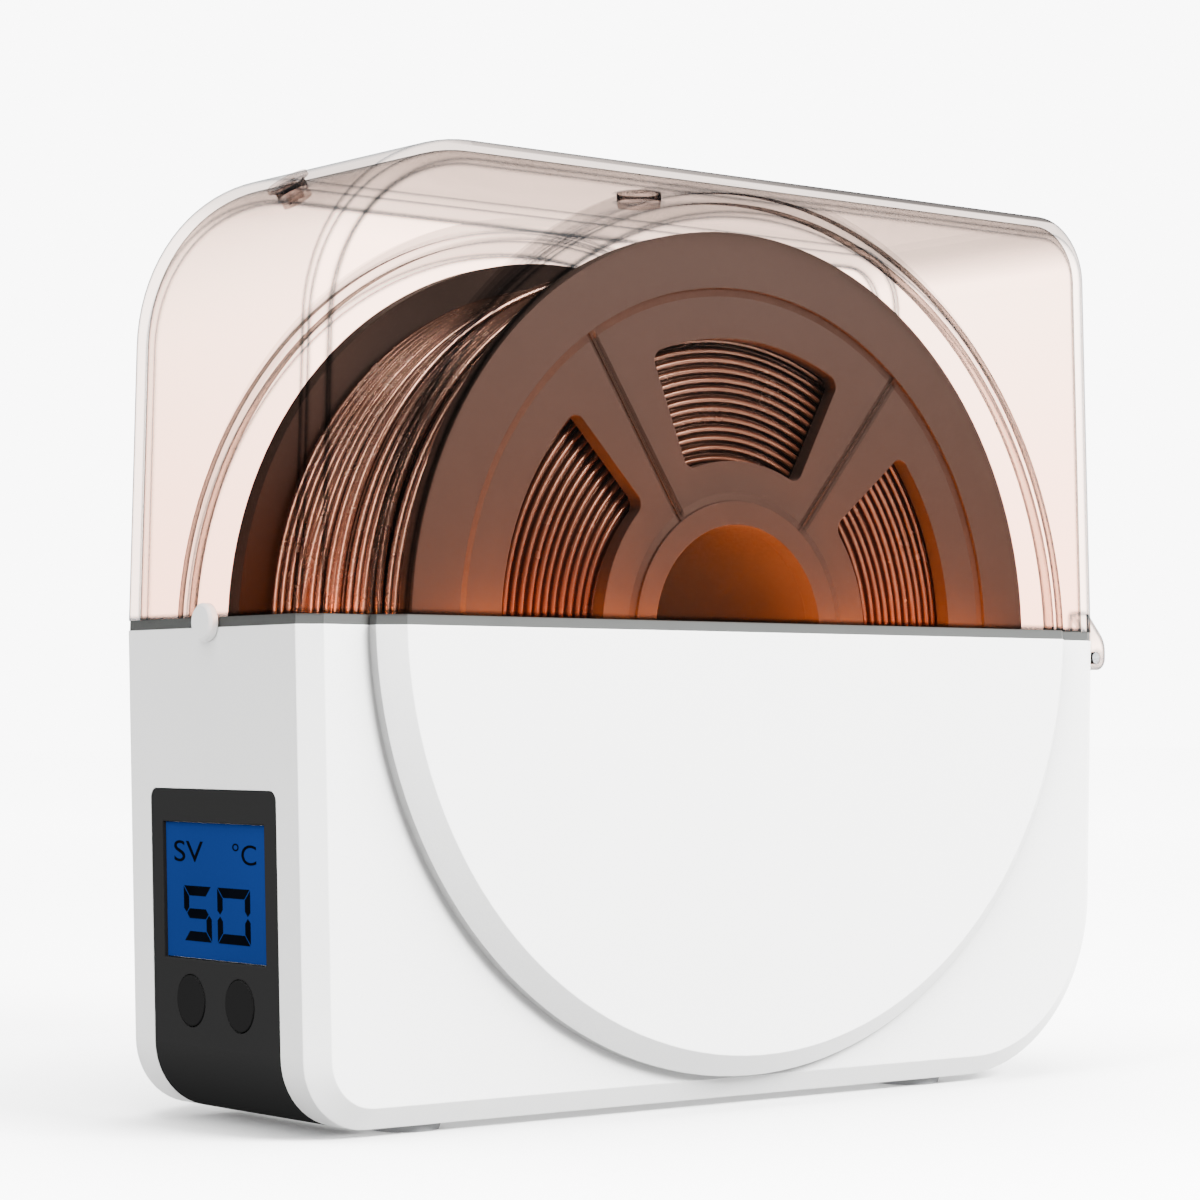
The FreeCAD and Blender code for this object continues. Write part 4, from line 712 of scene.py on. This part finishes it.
class DRYER_OT_case(DryerOperator, bpy.types.Operator):
    """Finish the white base, the thumb tab and the feet"""
    bl_idname = "dryer.case"
    bl_label = "Case"

    def make(self, settings):
        # Painted shade darkens its inner corners
        white = moulded_abs("abs_moulded_white", settings.colours.case, light=in_corners(40))
        dress(white, "base_shell", "latch_tab")
        # Soft rubber: dull, with a coarse skin
        rubber = surface("tpe_moulded_grey", linear("77787A"), linear("8A8B8C"), grain_mm=0.8, cloud_mm=12,
                         depth_mm=0.02, rough=(0.6, 0.75), edge_mm=0.3)
        dress(rubber, "rubber_feet")


class DRYER_OT_lid(DryerOperator, bpy.types.Operator):
    """Finish the clear lid, its seal, its outlets and the hinge pin"""
    bl_idname = "dryer.lid"
    bl_label = "Lid"

    def make(self, settings):
        # The lid's greyer top, its dark edge lines and its warm tint above the seam are painted shade and a
        # painted glow
        clear = clear_moulding("polycarbonate_polished_clear", settings.colours.lid, edge=linear("C2BBB7"),
                               line=linear("6A7074"), cover=(0.004, 0.06), rough=0.06, warm=linear("FBE9E0"))
        dress(clear, "lid_shell")
        # Extruded silicone: an even dark band that hardly shines
        tone = settings.colours.seal
        seal = surface("silicone_extruded_grey", shade(tone, 0.9), shade(tone, 1.1), grain_mm=0.9,
                       cloud_mm=15, depth_mm=0.02, rough=(0.5, 0.65), **{"Specular IOR Level": 0.04})
        dress(seal, "lid_seal")
        # Soft clear silicone: milky, with a broad dull gloss
        sleeve = clear_moulding("silicone_moulded_clear", linear("FCF7F5"), edge=linear("F0EAE7"),
                                line=linear("CCC6C3"), cover=(0.01, 0.1), rough=0.3)
        dress(sleeve, "outlet_grommet", "outlet_plug")
        # Drawn steel: bright, its fine scratches along the bar
        steel = surface("steel_drawn_bright", linear("8F9092"), linear("B4B5B7"), grain_mm=0.4, cloud_mm=6,
                        depth_mm=0.006, rough=(0.22, 0.34), stretch=(1, 0.05, 1), Metallic=1.0)
        dress(steel, "hinge_pin", "roller_axle_left", "roller_axle_right", "temp_sensor")


class DRYER_OT_fascia(DryerOperator, bpy.types.Operator):
    """Finish the fascia, its buttons and the display window"""
    bl_idname = "dryer.fascia"
    bl_label = "Fascia"

    def make(self, settings):
        colours = settings.colours
        dull = {"Specular IOR Level": 0.0}
        panel = moulded_abs("abs_moulded_dark_grey", colours.fascia, (0.3, 0.42), 0.008, **dull)
        dress(panel, "control_panel")
        button = moulded_abs("abs_moulded_black", colours.button, (0.42, 0.55), **dull)
        dress(button, "button_left", "button_right")
        dress(lit_display(colours.display), "display_lens")


class DRYER_OT_reading(DryerOperator, bpy.types.Operator):
    """Draw the reading on the display"""
    bl_idname = "dryer.reading"
    bl_label = "Reading"

    def make(self, settings):
        # Switched segments: flat black without gloss
        ink = surface("lcd_segment_black", linear("04060B"), linear("0A0D14"), grain_mm=0.5, cloud_mm=8,
                      depth_mm=0.002, rough=(0.6, 0.7), **{"Specular IOR Level": 0.0})
        display = settings.display
        bars = []
        for character, left, wide in zip(display.reading, DIGIT_LEFT, DIGIT_WIDE):
            bars += digit_bars(character, left, wide)
        points = np.concatenate([plate(bar) for bar in bars])
        faces = []
        for number, bar in enumerate(bars):
            faces += plate_faces(2 * len(bar) * number, len(bar))
        digits = bpy.data.meshes.new("display_digits")
        digits.from_pydata(points.tolist(), [], faces)
        signs = {
            "display_digits": digits,
            "display_heading": word_mesh(display.heading, *HEADING_BOX),
            "display_unit": word_mesh(display.unit, *UNIT_BOX),
        }
        for name, mesh in signs.items():
            close_mesh(mesh, 1e-7)
            place_piece(name, mesh, ink, "base")


class DRYER_OT_spool(DryerOperator, bpy.types.Operator):
    """Finish the spool"""
    bl_idname = "dryer.spool"
    bl_label = "Spool"

    def make(self, settings):
        # Moulded dark plastic: satin, brown through the tinted lid, with painted shade in the grooves along
        # its spokes
        tone = settings.colours.spool
        brown = surface("abs_moulded_brown", shade(tone, 0.94), shade(tone, 1.06), grain_mm=0.8, cloud_mm=45,
                        depth_mm=0.014, rough=(0.5, 0.62), edge_mm=0.5, light=in_grooves, form=flange_relief,
                        **{"Specular IOR Level": 0.08})
        dress(brown, "spool_front_flange", "spool_rear_flange", "spool_hub")


class DRYER_OT_filament(DryerOperator, bpy.types.Operator):
    """Wind the filament: the outer layer, turns that stray over it and the layers below"""
    bl_idname = "dryer.filament"
    bl_label = "Filament"

    def make(self, settings):
        winding = settings.winding
        tone = settings.colours.filament
        # Painted shade between the outer turns, and between the strands of the layers below
        crest = winding.radius + winding.thickness / 2
        between = in_gaps((1, 0, 1), crest - 1.0 * MM, crest - 0.3 * MM)
        low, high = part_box("filament_core")
        side = (high[1] - low[1]) / 2
        below = in_gaps((0, 1, 0), side - 0.85 * MM, side - 0.3 * MM)
        outer = drawn_filament("pla_drawn_silky", tone, rough=(0.25, 0.28), bend=2.4, light=between)
        under = drawn_filament("pla_drawn_glossy", tone, rough=(0.24, 0.28), bend=1.36, light=below)
        points = []
        faces = []
        first = 0
        for tube in [outer_turns(winding)] + stray_turns(winding):
            rows, sides = tube.shape[:2]
            points.append(tube.reshape(-1, 3))
            faces.append(grid_faces(rows, sides, False) + first)
            first += rows * sides
        turns = wound_piece("wound_turns", np.concatenate(points), np.concatenate(faces), outer)
        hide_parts("filament_winding")
        stack = layer_stack(winding)
        rows, columns = stack.shape[:2]
        layers = wound_piece("wound_layers", stack.reshape(-1, 3), grid_faces(rows, columns, True), under)
        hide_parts("filament_core")


class DRYER_OT_inside(DryerOperator, bpy.types.Operator):
    """Finish the cradle, rollers, heater and electronics inside"""
    bl_idname = "dryer.inside"
    bl_label = "Inside"

    def make(self, settings):
        tray = moulded_abs("abs_moulded_pale_grey", linear("D8D7D4"))
        dress(tray, "spool_cradle")
        # Turned acetal: smooth white, with fine rings from the tool
        acetal = surface("acetal_turned_white", linear("DAD9D5"), linear("E6E5E1"), grain_mm=0.5,
                         cloud_mm=20, depth_mm=0.01, rough=(0.3, 0.42), stretch=(1, 0.08, 1))
        dress(acetal, "roller_wheels_left", "roller_wheels_right")
        # Ground rubber: matt black
        rubber = surface("nitrile_ground_black", linear("191919"), linear("232323"), grain_mm=0.6,
                         cloud_mm=10, depth_mm=0.03, rough=(0.62, 0.8))
        dress(rubber, "roller_tyres_left", "roller_tyres_right")
        # Turned brass: warm and bright, with fine rings
        brass = surface("brass_turned", linear("A87F38"), linear("C79B52"), grain_mm=0.4, cloud_mm=8,
                        depth_mm=0.006, rough=(0.25, 0.38), stretch=(1, 0.06, 1), Metallic=1.0)
        dress(brass, "axle_bushes")
        # Rolled aluminium: pale, with streaks along the sheet
        sheet = surface("aluminium_rolled", linear("A9ABAD"), linear("C6C8C9"), grain_mm=0.5, cloud_mm=30,
                        depth_mm=0.006, rough=(0.32, 0.46), stretch=(0.05, 1, 1), Metallic=1.0)
        dress(sheet, "heating_plate")
        # Polyimide film: glossy amber
        film = surface("polyimide_film_amber", linear("8C4A12"), linear("A9601E"), grain_mm=1.5, cloud_mm=10,
                       depth_mm=0.01, rough=(0.25, 0.4))
        dress(film, "heater_film")
        # Zinc plating: a soft, slightly cloudy shine
        plated = surface("steel_zinc_plated", linear("A2A29C"), linear("BDBDB7"), grain_mm=0.5, cloud_mm=5,
                         depth_mm=0.008, rough=(0.28, 0.42), Metallic=1.0)
        dress(plated, "cradle_screws", "board_screws", "lcd_module")
        # Lacquered circuit board: dark green with the weave just showing
        board = surface("epoxy_board_green", linear("12431F"), linear("1B5A2B"), grain_mm=1.0, cloud_mm=7,
                        depth_mm=0.02, rough=(0.3, 0.5))
        dress(board, "control_board")
        # Moulded nylon: black with a satin skin
        nylon = surface("nylon_moulded_black", linear("161616"), linear("202020"), grain_mm=0.6, cloud_mm=12,
                        depth_mm=0.012, rough=(0.4, 0.55))
        dress(nylon, "tact_switches", "dc_jack")


# Camera as the photograph was taken: its place, turn and tilt, and its focal length on a 36 mm frame
EYE = (-546.2 * MM, -665.9 * MM, 94.8 * MM)
TURN_DEG = -38.564
TILT_DEG = 92.105
LENS_MM = 99.89

# The studio is brightest behind the object, as seen in the photograph, and the heater glows orange
BEHIND = (0.62, 0.78, 0.0)
GLOW = "FF8A30"
BORE_GLOW = "FFB07C"
FLOOR_HALF = 9.0
AIM = (-0.05, 0, 0.16)


def area_light(name, place, aim, size, watts, tint="FFFFFF"):
    """Soft rectangular light aimed at a point."""
    lamp = bpy.data.lights.new(name, "AREA")
    lamp.shape = "RECTANGLE"
    lamp.size, lamp.size_y = size
    lamp.energy = watts
    lamp.color = linear(tint)
    holder = bpy.data.objects.new(name, lamp)
    bpy.context.scene.collection.objects.link(holder)
    holder.location = place
    way = np.array(aim) - np.array(place)
    flat = math.hypot(way[0], way[1])
    holder.rotation_euler = (math.atan2(flat, -way[2]), 0, math.atan2(-way[0], way[1]))
    holder.visible_camera = False


class DRYER_OT_stage(DryerOperator, bpy.types.Operator):
    """Set the pale floor, the lights and the camera"""
    bl_idname = "dryer.stage"
    bl_label = "Stage"

    def make(self, settings):
        self.floor()
        self.studio()
        self.lamps()
        self.camera()

    def floor(self):
        half = FLOOR_HALF
        corners = [(-half, -half, 0), (half, -half, 0), (half, half, 0), (-half, half, 0)]
        mesh = bpy.data.meshes.new("floor")
        mesh.from_pydata(corners, [], [(0, 1, 2, 3)])
        floor = bpy.data.objects.new("floor", mesh)
        bpy.context.scene.collection.objects.link(floor)
        mesh.materials.append(white_paper())
        floor.visible_diffuse = False

    def studio(self):
        world = bpy.data.worlds.new("studio")
        world.use_nodes = True
        tree = world.node_tree
        way = add(tree, "ShaderNodeTexCoord").outputs["Generated"]
        behind = add(tree, "ShaderNodeVectorMath", {0: way, 1: BEHIND}, operation="DOT_PRODUCT")
        strength = add(tree, "ShaderNodeMapRange", {
            "Value": behind.outputs["Value"], "From Min": 0.8, "From Max": 0.95,
            "To Min": 0.65, "To Max": 9.0})
        backdrop = tree.nodes["Background"]
        backdrop.inputs["Color"].default_value = rgba(linear("FFFFFF"))
        tree.links.new(strength.outputs["Result"], backdrop.inputs["Strength"])
        bpy.context.scene.world = world

    def lamps(self):
        area_light("key", (0.55, -1.5, 1.1), (0, 0, 0.1), size=(1.0, 0.8), watts=265)
        area_light("strip_low", (-1.36, -0.46, 0.79), AIM, size=(0.16, 1.3), watts=22)
        area_light("strip_high", (-0.64, -0.22, 1.56), AIM, size=(0.16, 1.2), watts=20)
        low = SEAM - 10 * MM
        high = SEAM + 60 * MM
        middle = SPOOL_AXIS[0]
        area_light("glow_front", (middle, -43.6 * MM, low), (middle, -40 * MM, high),
                   size=(0.18, 0.003), watts=0.7, tint=GLOW)
        area_light("glow_turns", (middle - 98 * MM, 0, low), (middle - 60 * MM, 0, high),
                   size=(0.006, 0.06), watts=0.28, tint=GLOW)
        area_light("glow_bore", (middle + 5 * MM, 12 * MM, SEAM - 22 * MM),
                   (middle + 25 * MM, 12 * MM, SEAM - 2 * MM),
                   size=(0.06, 0.012), watts=0.045, tint=BORE_GLOW)

    def camera(self):
        lens = bpy.data.cameras.new("photo_view")
        lens.lens = LENS_MM
        lens.sensor_width = 36
        lens.clip_start = 0.01
        camera = bpy.data.objects.new("photo_view", lens)
        camera.location = EYE
        camera.rotation_euler = (math.radians(TILT_DEG), 0, math.radians(TURN_DEG))
        bpy.context.scene.collection.objects.link(camera)
        bpy.context.scene.camera = camera


OPERATORS = (
    DRYER_OT_case, DRYER_OT_lid, DRYER_OT_fascia, DRYER_OT_reading, DRYER_OT_spool,
    DRYER_OT_filament, DRYER_OT_inside, DRYER_OT_stage,
)


class DRYER_PT_panel(bpy.types.Panel):
    """Settings and steps of the dryer box"""
    bl_label = "Filament Dryer Box"
    bl_idname = "DRYER_PT_panel"
    bl_space_type = "VIEW_3D"
    bl_region_type = "UI"
    bl_category = "Dryer"

    def draw(self, context):
        settings = context.scene.dryer
        for group in (settings.colours, settings.winding, settings.display):
            box = self.layout.box()
            for name in group.__annotations__:
                box.prop(group, name)
        for operator in OPERATORS:
            self.layout.operator(operator.bl_idname)


CLASSES = (
    DRYER_PG_colours, DRYER_PG_winding, DRYER_PG_display, DRYER_PG_settings, *OPERATORS, DRYER_PT_panel,
)


def register():
    for item in CLASSES:
        bpy.utils.register_class(item)
    bpy.types.Scene.dryer = PointerProperty(type=DRYER_PG_settings)


def unregister():
    del bpy.types.Scene.dryer
    for item in reversed(CLASSES):
        bpy.utils.unregister_class(item)


def main():
    register()
    for operator in OPERATORS:
        group, name = operator.bl_idname.split(".")
        getattr(getattr(bpy.ops, group), name)()


if __name__ == "__main__":
    main()
